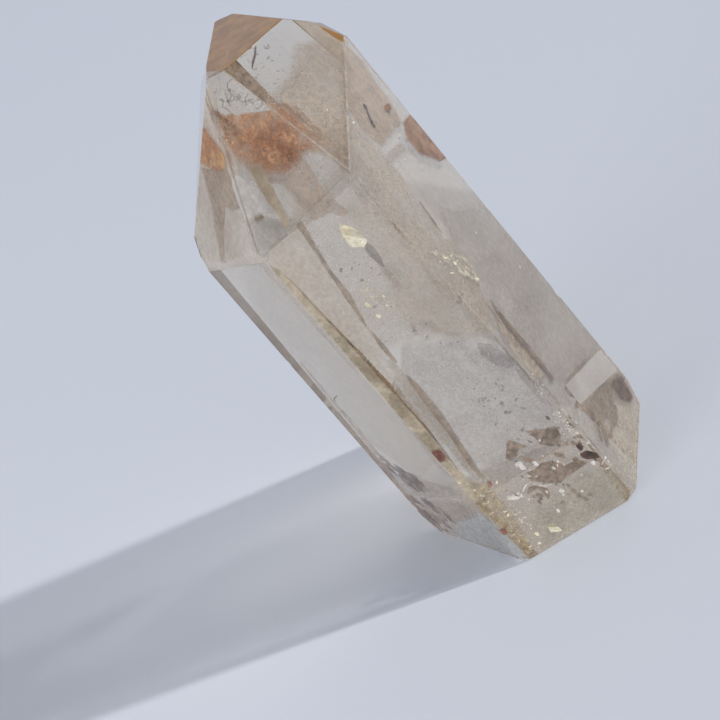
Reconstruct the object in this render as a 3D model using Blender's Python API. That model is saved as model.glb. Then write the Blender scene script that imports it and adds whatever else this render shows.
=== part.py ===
"""Included quartz crystal: a six-sided point, sawn flat at the foot and polished.

The crystal grew as one piece, so it is one object, quartz_crystal. Its shape is worked out the way
a polished point is cut: a round block loses everything outside each flat in turn, first the six
prism faces and the foot, then the faces of the point. After that the edges are eased, the corners
are blunted, and a few small shell-shaped chips are struck from the edges.

The origin is the middle of the foot, on the plane that the crystal stands on. +Z runs up the
crystal. Azimuths are in degrees, anticlockwise from +X as seen from above. The front of the crystal
is -Y.
"""

import bpy
import bmesh
from math import cos, radians, sin, tan
from mathutils import Matrix, Vector

MM = 0.001

# Driving dimensions, in mm and degrees
HEIGHT = 102.0
BLOCK_RADIUS = 27.0
BLOCK_MARGIN = 6.0
BLOCK_SIDES = 24

# Prism faces: the way each one looks, how far it leans in towards the top, and how far its foot
# stands from the middle
PRISM_FACES = {
    "left": (-156.8, 1.2, 17.65),
    "front": (-104.3, 0.7, 17.65),
    "right": (-40.1, 2.5, 19.2),
    "back_right": (20.0, 2.2, 18.5),
    "back": (79.3, 0.0, 18.6),
    "back_left": (137.0, 3.4, 19.0),
}

# Faces of the point: the way each one looks, how steeply it slopes from level, and the height at
# which its plane would cross the upright line through the middle of the foot. The point is steep in
# front, and the nearly level face on top cuts its tip off towards the back
POINT_FACES = {
    "point_left": (-167.5, 60.5, 107.0),
    "point_front": (-110.85, 60.9, 112.75),
    "point_right": (-52.5, 56.2, 111.05),
    "point_back_right": (18.55, 50.55, 111.7),
    "point_top": (53.0, 16.0, 100.3),
    "point_back": (145.45, 44.65, 99.85),
    "point_back_left": (153.85, 51.0, 99.8),
}

# Width of the narrow flat that polishing leaves along an edge
PRISM_EDGE_WIDTH = 0.15
POINT_EDGE_WIDTH = 0.12
FOOT_EDGE_WIDTH = 0.4

# Blunted corners: the faces that meet there, the share of each face's direction in the facet's own,
# and how far below the sharp corner the facet lies
CORNER_FACETS = [
    (("left", "front", "point_front"), (1.0, 1.0, 0.8), 0.55),
    (("right", "back_right", "point_right"), (1.0, 1.0, 1.0), 0.2),
    (("front", "right", "point_right"), (1.0, 1.0, 1.0), 0.2),
    (("left", "back_left", "point_left"), (1.0, 1.0, 1.0), 0.3),
    (("point_right", "point_back_right", "back_right"), (1.0, 1.0, 0.9), 0.7),
    (("point_top", "back", "point_back_right"), (1.0, 1.0, 1.0), 0.5),
    (("left", "back_left", "foot"), (1.0, 1.0, 0.35), 1.1),
    (("right", "back_right", "foot"), (1.0, 1.0, 0.3), 1.0),
    (("front", "right", "foot"), (1.0, 1.0, 0.8), 0.9),
    (("left", "front", "foot"), (1.0, 1.0, 0.8), 0.5),
    (("back_left", "back", "foot"), (1.0, 1.0, 0.7), 0.7),
    (("back", "back_right", "foot"), (1.0, 1.0, 0.7), 0.6),
]

# Chips: the two faces whose edge is struck, the height of the chip, the radius of its shell and how
# deep it bites
CHIPS = [
    ("right", "back_right", 31.0, 4.0, 0.35),
    ("right", "back_right", 13.0, 2.5, 0.25),
    ("left", "back_left", 7.5, 3.0, 0.3),
    ("left", "back_left", 52.0, 2.5, 0.2),
    ("back", "back_right", 40.0, 3.5, 0.3),
]

# Chips along the edge of the foot: the face whose lower edge is struck, how far along it from its
# middle (positive is clockwise as seen from above), the radius of its shell and how deep it bites
FOOT_CHIPS = [
    ("left", 2.5, 2.5, 0.3),
    ("right", -3.0, 2.0, 0.3),
    ("back", 4.0, 3.0, 0.35),
]

CHIP_DETAIL = 3
SAME_POINT = 0.000001

CLEAR_QUARTZ = (0.93, 0.91, 0.87, 1.0)
QUARTZ_IOR = 1.544
POLISH_ROUGHNESS = 0.02


def remove_all_objects():
    for item in list(bpy.data.objects):
        bpy.data.objects.remove(item, do_unlink=True)


def facing(azimuth, slope):
    """The outward direction of a face that looks towards an azimuth and slopes from level."""
    flat = sin(radians(slope))
    turn = radians(azimuth)
    return Vector((flat * cos(turn), flat * sin(turn), cos(radians(slope))))


def all_planes():
    """Each face's outward direction and its distance from the origin, by name."""
    planes = {"foot": (Vector((0.0, 0.0, -1.0)), 0.0)}
    for name, (azimuth, lean, reach) in PRISM_FACES.items():
        planes[name] = (facing(azimuth, 90.0 - lean), reach * MM * cos(radians(lean)))
    for name, (azimuth, slope, peak) in POINT_FACES.items():
        planes[name] = (facing(azimuth, slope), peak * MM * cos(radians(slope)))
    return planes


def meeting_point(planes, names):
    """The point where three planes meet."""
    rows = Matrix([planes[name][0] for name in names])
    distances = Vector([planes[name][1] for name in names])
    return rows.inverted() @ distances


def point_on_edge(planes, first, second, height):
    """The point at a height on the edge between two prism faces."""
    rows = Matrix([planes[first][0], planes[second][0], Vector((0.0, 0.0, 1.0))])
    return rows.inverted() @ Vector((planes[first][1], planes[second][1], height))


def cut_flat(crystal, direction, point):
    """Take off everything beyond a plane and close the cut with one flat face."""
    everything = crystal.verts[:] + crystal.edges[:] + crystal.faces[:]
    cut = bmesh.ops.bisect_plane(
        crystal,
        geom=everything,
        dist=SAME_POINT,
        plane_co=point,
        plane_no=direction,
        clear_outer=True,
    )
    rim = [item for item in cut["geom_cut"] if isinstance(item, bmesh.types.BMEdge)]
    if rim:
        bmesh.ops.holes_fill(crystal, edges=rim)


def edge_width(edge):
    """The width of the eased flat on an edge, by where the edge lies."""
    slopes = sorted(abs(face.normal.z) for face in edge.link_faces)
    if min(face.normal.z for face in edge.link_faces) < -0.9:
        return FOOT_EDGE_WIDTH
    if slopes[0] > 0.3:
        return POINT_EDGE_WIDTH
    return PRISM_EDGE_WIDTH


def ease_edges(crystal):
    """Take a narrow flat off every edge, square to the line that halves the edge's angle."""
    crystal.normal_update()
    flats = []
    for edge in crystal.edges:
        first, second = (face.normal.copy() for face in edge.link_faces)
        half_bend = first.angle(second) / 2.0
        depth = edge_width(edge) * MM / 2.0 * tan(half_bend)
        direction = (first + second).normalized()
        flats.append((direction, edge.verts[0].co - direction * depth))
    for direction, point in flats:
        cut_flat(crystal, direction, point)


def blunt_corners(crystal, planes):
    for names, shares, depth in CORNER_FACETS:
        corner = meeting_point(planes, names)
        direction = Vector((0.0, 0.0, 0.0))
        for name, share in zip(names, shares):
            direction += planes[name][0] * share
        direction.normalize()
        cut_flat(crystal, direction, corner - direction * depth * MM)


def make_crystal(planes):
    """The polished point as one closed mesh of flat faces."""
    crystal = bmesh.new()
    block_height = (HEIGHT + 2.0 * BLOCK_MARGIN) * MM
    bmesh.ops.create_cone(
        crystal,
        cap_ends=True,
        segments=BLOCK_SIDES,
        radius1=BLOCK_RADIUS * MM,
        radius2=BLOCK_RADIUS * MM,
        depth=block_height,
        matrix=Matrix.Translation((0.0, 0.0, HEIGHT / 2.0 * MM)),
    )
    for direction, distance in planes.values():
        cut_flat(crystal, direction, direction * distance)
    bmesh.ops.remove_doubles(crystal, verts=crystal.verts[:], dist=SAME_POINT)
    ease_edges(crystal)
    blunt_corners(crystal, planes)
    bmesh.ops.recalc_face_normals(crystal, faces=crystal.faces[:])
    mesh = bpy.data.meshes.new("quartz_crystal")
    crystal.to_mesh(mesh)
    crystal.free()
    return mesh


def make_chip_cutter(name, centre, radius):
    """A ball whose edge bites a shell-shaped chip out of the crystal."""
    ball = bmesh.new()
    bmesh.ops.create_icosphere(
        ball, subdivisions=CHIP_DETAIL, radius=radius, matrix=Matrix.Translation(centre)
    )
    mesh = bpy.data.meshes.new(name)
    ball.to_mesh(mesh)
    ball.free()
    cutter = bpy.data.objects.new(name, mesh)
    cutter.hide_render = True
    cutter.display_type = "WIRE"
    bpy.context.scene.collection.objects.link(cutter)
    return cutter


def strike(crystal, cutter):
    chip = crystal.modifiers.new(cutter.name, "BOOLEAN")
    chip.operation = "DIFFERENCE"
    chip.solver = "EXACT"
    chip.object = cutter


def strike_edge_chips(crystal, planes):
    for number, (first, second, height, radius, bite) in enumerate(CHIPS):
        edge_point = point_on_edge(planes, first, second, height * MM)
        outward = (planes[first][0] + planes[second][0]).normalized()
        centre = edge_point + outward * (radius - bite) * MM
        strike(crystal, make_chip_cutter(f"edge_chip_{number + 1}", centre, radius * MM))


def strike_foot_chips(crystal, planes):
    for number, (name, along, radius, bite) in enumerate(FOOT_CHIPS):
        outward = planes[name][0]
        sideways = Vector((outward.y, -outward.x, 0.0)).normalized()
        foot_point = outward * planes[name][1]
        foot_point.z = 0.0
        edge_point = foot_point + sideways * along * MM
        away = (outward + planes["foot"][0]).normalized()
        centre = edge_point + away * (radius - bite) * MM
        strike(crystal, make_chip_cutter(f"foot_chip_{number + 1}", centre, radius * MM))


def clear_quartz():
    material = bpy.data.materials.new("clear_quartz")
    material.use_nodes = True
    shader = material.node_tree.nodes["Principled BSDF"]
    shader.inputs["Base Color"].default_value = CLEAR_QUARTZ
    shader.inputs["Metallic"].default_value = 0.0
    shader.inputs["Roughness"].default_value = POLISH_ROUGHNESS
    shader.inputs["IOR"].default_value = QUARTZ_IOR
    shader.inputs["Transmission Weight"].default_value = 1.0
    return material


remove_all_objects()
face_planes = all_planes()
quartz_mesh = make_crystal(face_planes)
quartz_mesh.materials.append(clear_quartz())
quartz_crystal = bpy.data.objects.new("quartz_crystal", quartz_mesh)
bpy.context.scene.collection.objects.link(quartz_crystal)
strike_edge_chips(quartz_crystal, face_planes)
strike_foot_chips(quartz_crystal, face_planes)
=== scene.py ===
"""Included quartz crystal: the looks of a polished six-sided point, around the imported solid."""

import random
from math import cos, pi, radians, sin, sqrt

import bpy
import bmesh
from mathutils import Matrix, Vector, noise
from mathutils.bvhtree import BVHTree


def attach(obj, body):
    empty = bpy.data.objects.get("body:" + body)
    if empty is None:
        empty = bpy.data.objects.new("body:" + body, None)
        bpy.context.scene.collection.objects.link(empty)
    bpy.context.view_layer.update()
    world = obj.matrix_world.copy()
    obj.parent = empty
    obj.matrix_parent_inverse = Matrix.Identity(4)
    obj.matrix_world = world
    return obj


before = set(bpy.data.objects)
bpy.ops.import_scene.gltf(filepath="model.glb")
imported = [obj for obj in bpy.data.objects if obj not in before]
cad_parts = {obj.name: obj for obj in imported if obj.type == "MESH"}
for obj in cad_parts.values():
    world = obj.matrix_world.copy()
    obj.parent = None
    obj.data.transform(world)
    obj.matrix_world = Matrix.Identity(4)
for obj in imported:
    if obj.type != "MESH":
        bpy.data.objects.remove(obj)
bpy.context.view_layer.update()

MM = 0.001

# The camera
# It looks down at the crystal from in front and is rolled, as the photograph was taken. What lies
# inside the crystal is placed through it, so it comes first.
IMAGE_SIDE = 720.0
LENS = 72.0
SENSOR = 36.0
LOOK_DOWN = 39.966
ROLL = -42.234
CAMERA_PLACE = Vector((-10.7, -172.35, 189.4)) * MM


def camera_turn(look_down, roll):
    """The camera's turn: level and facing +Y, then tipped down, then rolled about its own axis."""
    tip = Matrix.Rotation(radians(90.0 - look_down), 4, "X")
    return tip @ Matrix.Rotation(radians(roll), 4, "Z")


CAMERA_TURN = camera_turn(LOOK_DOWN, ROLL)


def look(pixel):
    """The way the camera looks at a pixel of the photograph's frame."""
    across, down = pixel
    aim = Vector((across - IMAGE_SIDE / 2.0, IMAGE_SIDE / 2.0 - down, -LENS / SENSOR * IMAGE_SIDE))
    return (CAMERA_TURN.to_3x3() @ aim).normalized()


camera = bpy.data.cameras.new("camera")
camera.sensor_width = SENSOR
camera.lens = LENS
camera.clip_start = 0.01
camera.clip_end = 10.0
camera_object = bpy.data.objects.new("camera", camera)
camera_object.matrix_world = Matrix.Translation(CAMERA_PLACE) @ CAMERA_TURN
bpy.context.scene.collection.objects.link(camera_object)
bpy.context.scene.camera = camera_object

# The floor and the light
# A plain pale floor in a pale grey room. One soft sun stands low on the right, behind the crystal,
# and a weak warm window on the left lights the faces that it leaves dark.
FLOOR_SIDE = 3.0
FLOOR_COLOUR = (0.60, 0.64, 0.70, 1.0)
FLOOR_ROUGHNESS = 0.8
FLOOR_DROP = 0.02 * MM
ROOM_COLOUR = (0.44, 0.45, 0.50, 1.0)
SUN_ENERGY = 2.4
SUN_ANGLE = 1.4
SUN_TURN = (58.0, 0.0, 63.0)
WINDOW_ENERGY = 0.27
WINDOW_SIDE = 200.0 * MM
WINDOW_COLOUR = (1.0, 0.93, 0.84)
WINDOW_PLACE = Vector((-340.0, -80.0, 300.0)) * MM
WINDOW_AIM = Vector((0.0, 0.0, 60.0)) * MM


def pale_floor():
    material = bpy.data.materials.new("pale_floor")
    material.use_nodes = True
    shader = material.node_tree.nodes["Principled BSDF"]
    shader.inputs["Base Color"].default_value = FLOOR_COLOUR
    shader.inputs["Roughness"].default_value = FLOOR_ROUGHNESS
    return material


floor_form = bmesh.new()
bmesh.ops.create_grid(floor_form, x_segments=1, y_segments=1, size=FLOOR_SIDE / 2.0)
bmesh.ops.translate(floor_form, verts=floor_form.verts, vec=(0.0, 0.0, -FLOOR_DROP))
floor_mesh = bpy.data.meshes.new("floor")
floor_form.to_mesh(floor_mesh)
floor_form.free()
floor_mesh.materials.append(pale_floor())
floor = bpy.data.objects.new("floor", floor_mesh)
bpy.context.scene.collection.objects.link(floor)

room = bpy.data.worlds.new("room")
room.use_nodes = True
room.node_tree.nodes["Background"].inputs["Color"].default_value = ROOM_COLOUR
room.node_tree.nodes["Background"].inputs["Strength"].default_value = 1.0
bpy.context.scene.world = room

sun = bpy.data.lights.new("sun", "SUN")
sun.energy = SUN_ENERGY
sun.angle = radians(SUN_ANGLE)
sun_object = bpy.data.objects.new("sun", sun)
sun_object.rotation_euler = [radians(turn) for turn in SUN_TURN]
bpy.context.scene.collection.objects.link(sun_object)
SUN_WAY = sun_object.rotation_euler.to_matrix() @ Vector((0.0, 0.0, 1.0))

window = bpy.data.lights.new("window", "AREA")
window.energy = WINDOW_ENERGY
window.size = WINDOW_SIDE
window.color = WINDOW_COLOUR
window_object = bpy.data.objects.new("window", window)
window_object.location = WINDOW_PLACE
window_object.rotation_euler = (WINDOW_AIM - WINDOW_PLACE).to_track_quat("-Z", "Y").to_euler()
bpy.context.scene.collection.objects.link(window_object)

# The crystal
# One piece of rock crystal, grown as a six-sided prism with a point, sawn flat at the foot and
# polished on every face. It keeps the solid's own mesh. Iron in the quartz tints it only where the
# light has gone a long way through it, and the lamp's light reaches what lies inside.
QUARTZ_IOR = 1.544
QUARTZ_DEPTH_COLOUR = (0.81, 0.56, 0.19, 1.0)
QUARTZ_DEPTH_DENSITY = 10.0
QUARTZ_SHADOW = (0.52, 0.52, 0.54, 1.0)


def clear_quartz():
    material = bpy.data.materials.new("clear_quartz")
    material.use_nodes = True
    nodes = material.node_tree.nodes
    links = material.node_tree.links
    shader = nodes["Principled BSDF"]
    shader.inputs["Base Color"].default_value = (1.0, 1.0, 1.0, 1.0)
    shader.inputs["Metallic"].default_value = 0.0
    shader.inputs["Roughness"].default_value = 0.0
    shader.inputs["IOR"].default_value = QUARTZ_IOR
    shader.inputs["Transmission Weight"].default_value = 1.0
    lamp_light = nodes.new("ShaderNodeBsdfTransparent")
    lamp_light.inputs["Color"].default_value = QUARTZ_SHADOW
    ray = nodes.new("ShaderNodeLightPath")
    choice = nodes.new("ShaderNodeMixShader")
    depth = nodes.new("ShaderNodeVolumeAbsorption")
    depth.inputs["Color"].default_value = QUARTZ_DEPTH_COLOUR
    depth.inputs["Density"].default_value = QUARTZ_DEPTH_DENSITY
    links.new(ray.outputs["Is Shadow Ray"], choice.inputs[0])
    links.new(shader.outputs["BSDF"], choice.inputs[1])
    links.new(lamp_light.outputs["BSDF"], choice.inputs[2])
    links.new(choice.outputs["Shader"], nodes["Material Output"].inputs["Surface"])
    links.new(depth.outputs["Volume"], nodes["Material Output"].inputs["Volume"])
    return material


LIGHT_BOUNCES = 32

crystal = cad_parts["quartz_crystal"]
crystal.data.materials.clear()
crystal.data.materials.append(clear_quartz())

bpy.context.scene.view_settings.view_transform = "Standard"
bpy.context.scene.cycles.max_bounces = LIGHT_BOUNCES
bpy.context.scene.cycles.transmission_bounces = LIGHT_BOUNCES
bpy.context.scene.cycles.glossy_bounces = LIGHT_BOUNCES
bpy.context.scene.cycles.transparent_max_bounces = LIGHT_BOUNCES

# The iron stain
# Iron oxide that crept along healed cracks while the crystal grew, just behind the face in front of
# the point. Each stain is a thin, uneven skin in the quartz. It is placed by where it shows in the
# photograph: the look at a pixel is bent where it enters a polished face, and followed from there.
surface = BVHTree.FromPolygons(
    [corner.co for corner in crystal.data.vertices],
    [face.vertices for face in crystal.data.polygons],
)

# A pixel on each face that the camera sees
FRONT = (400, 330)
RIGHT = (500, 260)
LEFT = (300, 330)
POINT_FRONT = (262, 190)
POINT_RIGHT = (300, 60)
POINT_LEFT = (212, 200)
POINT_TOP = (235, 40)

FLAT_AREA = 6.0
SAME_WAY = 0.9999
SKIN_CELL = 0.45
FINE_CELL = 0.25
FINEST_CELL = 0.15
SKIN_MARGIN = 1.5
SKIN_CLEARANCE = 0.12
RIPPLE_GRAIN = 120.0
SAME_POINT = 0.000001
FAR = 1000.0


def crystal_flats():
    """Each large flat face of the crystal: the way it looks and a point on it."""
    flats = []
    for face in crystal.data.polygons:
        known = any(face.normal.dot(direction) > SAME_WAY for direction, point in flats)
        if face.area > FLAT_AREA * MM * MM and not known:
            flats.append((face.normal.copy(), crystal.data.vertices[face.vertices[0]].co.copy()))
    return flats


FLATS = crystal_flats()


def through(pixel):
    """A way in by the face that a pixel shows. It gives, for any pixel, the place where the look
    at it enters that face's plane, and the way it goes on inside. The face's own direction comes
    with it."""
    place, outward, face, distance = surface.ray_cast(CAMERA_PLACE, look(pixel))
    share = 1.0 / QUARTZ_IOR

    def enter(other):
        way = look(other)
        start = CAMERA_PLACE + way * ((place - CAMERA_PLACE).dot(outward) / way.dot(outward))
        along = -way.dot(outward)
        turned = sqrt(1.0 - share * share * (1.0 - along * along))
        return start, (way * share + outward * (share * along - turned)).normalized()

    return enter, outward


def skin_axes(enter, pixel, depth, tip, swing, outward, lies):
    """The axes of a skin. It lies across the look at a pixel, flush under the face that it is seen
    through, or where it catches the sun, and it is tipped and swung from there."""
    start, way = enter(pixel)
    across = CAMERA_TURN.to_3x3() @ Vector((1.0, 0.0, 0.0))
    facing = -way
    if lies == "flush":
        facing = outward
        way = -outward
    if lies == "sunlit":
        facing = (SUN_WAY - way).normalized()
    across = (across - facing * across.dot(facing)).normalized()
    axes = Matrix((across, facing.cross(across), facing)).transposed()
    axes = axes @ Matrix.Rotation(radians(tip), 3, "X") @ Matrix.Rotation(radians(swing), 3, "Y")
    return Matrix.Translation(start + way * depth * MM) @ axes.to_4x4()


def on_skin(enter, axes, pixel):
    """Where the look at a pixel meets a skin, in the skin's own axes."""
    start, way = enter(pixel)
    facing = axes.col[2].to_3d()
    reach = (axes.translation - start).dot(facing) / way.dot(facing)
    return axes.inverted() @ (start + way * reach)


def gap_to(across, up, first, second):
    """The distance from a point to a straight stretch of rim."""
    run, rise = second[0] - first[0], second[1] - first[1]
    share = ((across - first[0]) * run + (up - first[1]) * rise) / (run * run + rise * rise)
    share = min(max(share, 0.0), 1.0)
    return sqrt((across - first[0] - share * run) ** 2 + (up - first[1] - share * rise) ** 2)


def in_rim(across, up, rim):
    inside = False
    for first, second in zip(rim, rim[1:] + rim[:1]):
        if (first[1] > up) != (second[1] > up):
            share = (up - first[1]) / (second[1] - first[1])
            if across < first[0] + (second[0] - first[0]) * share:
                inside = not inside
    return inside


def fade_at(across, up, rim):
    """How far a point lies inside a rim: 0 on the rim, 1 where the skin is whole, less outside.
    The distance outside it, in metres, comes with it."""
    least = FAR
    nearest = FAR
    for first, second in zip(rim, rim[1:] + rim[:1]):
        gap = gap_to(across, up, first, second)
        least = min(least, gap / first[2])
        nearest = min(nearest, gap)
    if in_rim(across, up, rim):
        return least, 0.0
    return -least, nearest


def add_skin(form, face, pixels, depth, soft, tip=0.0, swing=0.0, ripple=0.15, lies="across",
             cell=SKIN_CELL):
    """One skin inside the crystal, whose rim shows at the given pixels through one face. A third
    number in a pixel is how softly the rim fades from there to the next pixel, in mm."""
    enter, outward = through(face)
    middle = [sum(pixel[axis] for pixel in pixels) / len(pixels) for axis in (0, 1)]
    axes = skin_axes(enter, middle, depth, tip, swing, outward, lies)
    rim = []
    for pixel in pixels:
        spot = on_skin(enter, axes, pixel[:2])
        rim.append((spot.x, spot.y, (pixel[2] if len(pixel) > 2 else soft) * MM))
    low = [min(spot[axis] for spot in rim) - 2.0 * cell * MM for axis in (0, 1)]
    high = [max(spot[axis] for spot in rim) + 2.0 * cell * MM for axis in (0, 1)]
    size = [high[axis] - low[axis] for axis in (0, 1)]
    grid = bmesh.ops.create_grid(
        form,
        x_segments=max(int(size[0] / cell / MM), 2),
        y_segments=max(int(size[1] / cell / MM), 2),
        size=0.5,
    )["verts"]
    bmesh.ops.scale(form, vec=(size[0], size[1], 1.0), verts=grid)
    middle = ((low[0] + high[0]) / 2.0, (low[1] + high[1]) / 2.0, 0.0)
    bmesh.ops.translate(form, vec=middle, verts=grid)
    fade = form.verts.layers.float["fade"]
    outside = []
    for corner in grid:
        corner[fade], beyond = fade_at(corner.co.x, corner.co.y, rim)
        if beyond > SKIN_MARGIN * cell * MM:
            outside.append(corner)
            continue
        spot = Vector((corner.co.x, corner.co.y, depth * MM)) * RIPPLE_GRAIN
        corner.co.z = (noise.noise(spot) + 0.4 * noise.noise(spot * 3.1)) * ripple * MM
    bmesh.ops.transform(form, matrix=axes, verts=grid)
    bmesh.ops.delete(form, geom=outside, context="VERTS")


def new_skins():
    form = bmesh.new()
    form.verts.layers.float.new("fade")
    return form


def finish_inclusion(form, material):
    """Keep what lies inside the crystal, and make it a piece that moves with the crystal."""
    for direction, place in FLATS:
        everything = form.verts[:] + form.edges[:] + form.faces[:]
        bmesh.ops.bisect_plane(
            form,
            geom=everything,
            dist=SAME_POINT,
            plane_co=place - direction * SKIN_CLEARANCE * MM,
            plane_no=direction,
            clear_outer=True,
        )
    mesh = bpy.data.meshes.new(material.name)
    form.to_mesh(mesh)
    form.free()
    mesh.materials.append(material)
    piece = bpy.data.objects.new(material.name, mesh)
    bpy.context.scene.collection.objects.link(piece)
    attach(piece, "root")


SPECK_GRAIN = 1500.0
RIM_SHIFT = 0.0
PATCH_SHIFT = 0.31
TONE_SHIFT = 0.77
PATCH_GRAIN = 1.6
TONE_GRAIN = 0.7
STREAK = (1.0, 1.0, 0.75)


def make_cloud_group():
    """The cover and the tone of a cloudy skin: ragged towards its rim, and patchy all over."""
    group = bpy.data.node_groups.new("cloud", "ShaderNodeTree")
    group.interface.new_socket("Vector", in_out="INPUT", socket_type="NodeSocketVector")
    for label in ("Fade", "Grain", "Ragged", "Level", "Spread", "Most", "Specks"):
        group.interface.new_socket(label, in_out="INPUT", socket_type="NodeSocketFloat")
    for label in ("Cover", "Tone"):
        group.interface.new_socket(label, in_out="OUTPUT", socket_type="NodeSocketFloat")
    nodes = group.nodes
    links = group.links
    given = nodes.new("NodeGroupInput")
    result = nodes.new("NodeGroupOutput")

    def join(value, socket):
        if isinstance(value, float):
            socket.default_value = value
        else:
            links.new(value, socket)

    def sums(operation, first, second):
        node = nodes.new("ShaderNodeMath")
        node.operation = operation
        join(first, node.inputs[0])
        join(second, node.inputs[1])
        return node.outputs[0]

    def grains(scale, detail, shift):
        place = nodes.new("ShaderNodeVectorMath")
        place.operation = "ADD"
        links.new(given.outputs["Vector"], place.inputs[0])
        place.inputs[1].default_value = (shift, -shift, shift)
        node = nodes.new("ShaderNodeTexNoise")
        node.inputs["Detail"].default_value = detail
        node.inputs["Roughness"].default_value = 0.7
        links.new(place.outputs[0], node.inputs["Vector"])
        join(scale, node.inputs["Scale"])
        return node.outputs[0]

    def between(value, low, high):
        node = nodes.new("ShaderNodeMapRange")
        node.interpolation_type = "SMOOTHSTEP"
        links.new(value, node.inputs["Value"])
        join(low, node.inputs["From Min"])
        join(high, node.inputs["From Max"])
        return node.outputs[0]

    uneven = sums("SUBTRACT", grains(given.outputs["Grain"], 4.0, RIM_SHIFT), 0.5)
    ragged = sums("MULTIPLY", uneven, given.outputs["Ragged"])
    rim = between(sums("ADD", ragged, given.outputs["Fade"]), 0.0, 1.0)
    low = sums("SUBTRACT", given.outputs["Level"], given.outputs["Spread"])
    high = sums("ADD", given.outputs["Level"], given.outputs["Spread"])
    patch_scale = sums("MULTIPLY", given.outputs["Grain"], PATCH_GRAIN)
    patches = between(grains(patch_scale, 5.0, PATCH_SHIFT), low, high)
    fine = between(grains(SPECK_GRAIN, 3.0, RIM_SHIFT), 0.38, 0.62)
    bare = sums("MULTIPLY", sums("SUBTRACT", 1.0, fine), given.outputs["Specks"])
    cover = sums("MULTIPLY", sums("MULTIPLY", rim, patches), given.outputs["Most"])
    links.new(sums("MULTIPLY", cover, sums("SUBTRACT", 1.0, bare)), result.inputs["Cover"])
    tone_scale = sums("MULTIPLY", given.outputs["Grain"], TONE_GRAIN)
    coarse = between(grains(tone_scale, 4.0, TONE_SHIFT), 0.36, 0.64)
    apart = sums("MULTIPLY", sums("SUBTRACT", fine, coarse), given.outputs["Specks"])
    links.new(sums("ADD", coarse, apart), result.inputs["Tone"])
    return group


CLOUD = make_cloud_group()


def two_tones(material, dark, light, share):
    """Colour a material between two tones by a value that changes over it."""
    tone = material.node_tree.nodes.new("ShaderNodeMix")
    tone.data_type = "RGBA"
    tone.inputs["A"].default_value = (*dark, 1.0)
    tone.inputs["B"].default_value = (*light, 1.0)
    material.node_tree.links.new(share, tone.inputs["Factor"])
    shader = material.node_tree.nodes["Principled BSDF"]
    material.node_tree.links.new(tone.outputs["Result"], shader.inputs["Base Color"])


def raise_by(material, height, strength):
    """Give a material a fine relief by a value that changes over it."""
    relief = material.node_tree.nodes.new("ShaderNodeBump")
    relief.inputs["Strength"].default_value = strength
    relief.inputs["Distance"].default_value = RELIEF_DEPTH * MM
    material.node_tree.links.new(height, relief.inputs["Height"])
    shader = material.node_tree.nodes["Principled BSDF"]
    material.node_tree.links.new(relief.outputs["Normal"], shader.inputs["Normal"])


RELIEF_DEPTH = 0.2


def cloudy(name, dark, light, grain, most, ragged=1.2, level=0.2, spread=0.2, specks=0.35,
           roughness=0.8, metallic=0.0, relief=0.0, shine=0.5):
    """The look of a cloudy skin: two tones in patches of a grain per metre, covering at most so
    much, thin in places and ragged at its rim."""
    material = bpy.data.materials.new(name)
    material.use_nodes = True
    nodes = material.node_tree.nodes
    links = material.node_tree.links
    shader = nodes["Principled BSDF"]
    shader.inputs["Roughness"].default_value = roughness
    shader.inputs["Metallic"].default_value = metallic
    shader.inputs["Specular IOR Level"].default_value = shine
    where = nodes.new("ShaderNodeTexCoord")
    place = nodes.new("ShaderNodeMapping")
    place.inputs["Scale"].default_value = STREAK
    fade = nodes.new("ShaderNodeAttribute")
    fade.attribute_name = "fade"
    cloud = nodes.new("ShaderNodeGroup")
    cloud.node_tree = CLOUD
    cloud.inputs["Grain"].default_value = grain
    cloud.inputs["Ragged"].default_value = ragged
    cloud.inputs["Level"].default_value = level
    cloud.inputs["Spread"].default_value = spread
    cloud.inputs["Most"].default_value = most
    cloud.inputs["Specks"].default_value = specks
    links.new(where.outputs["Object"], place.inputs["Vector"])
    links.new(place.outputs["Vector"], cloud.inputs["Vector"])
    links.new(fade.outputs["Fac"], cloud.inputs["Fade"])
    links.new(cloud.outputs["Cover"], shader.inputs["Alpha"])
    two_tones(material, dark, light, cloud.outputs["Tone"])
    if relief:
        raise_by(material, cloud.outputs["Tone"], relief)
    return material


def ribbon(line):
    """The rim of a narrow band, from the pixels and the widths along its middle line."""
    sides = ([], [])
    for number, (across, down, width) in enumerate(line):
        before = line[max(number - 1, 0)]
        after = line[min(number + 1, len(line) - 1)]
        run, fall = after[0] - before[0], after[1] - before[1]
        length = sqrt(run * run + fall * fall)
        shift = (-fall / length * width / 2.0, run / length * width / 2.0)
        sides[0].append((across + shift[0], down + shift[1]))
        sides[1].append((across - shift[0], down - shift[1]))
    return sides[0] + sides[1][::-1]


IRON_TILT = {"tip": 8.0, "swing": -6.0}
IRON_CLOUD_RIM = [
    (206, 96, 0.3), (211, 104, 0.3), (219, 111, 0.3), (228, 115, 0.3), (240, 114, 0.3),
    (252, 112, 0.3), (268, 110, 0.3), (276, 106, 0.3), (285, 108, 0.2), (295, 114, 0.15),
    (303, 124, 0.15), (314, 137, 0.15), (332, 158, 0.6), (318, 156), (308, 158), (300, 168),
    (290, 180), (268, 184), (250, 176), (234, 163), (222, 153), (213, 137),
]
IRON_CLOUD_DARK = (0.60, 0.33, 0.17)
IRON_CLOUD_LIGHT = (0.90, 0.61, 0.38)

stain = new_skins()
add_skin(stain, POINT_FRONT, IRON_CLOUD_RIM, 4.5, soft=1.6, **IRON_TILT)
finish_inclusion(
    stain, cloudy("iron_cloud", IRON_CLOUD_DARK, IRON_CLOUD_LIGHT, 500.0, 0.92, level=0.33),
)

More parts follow.
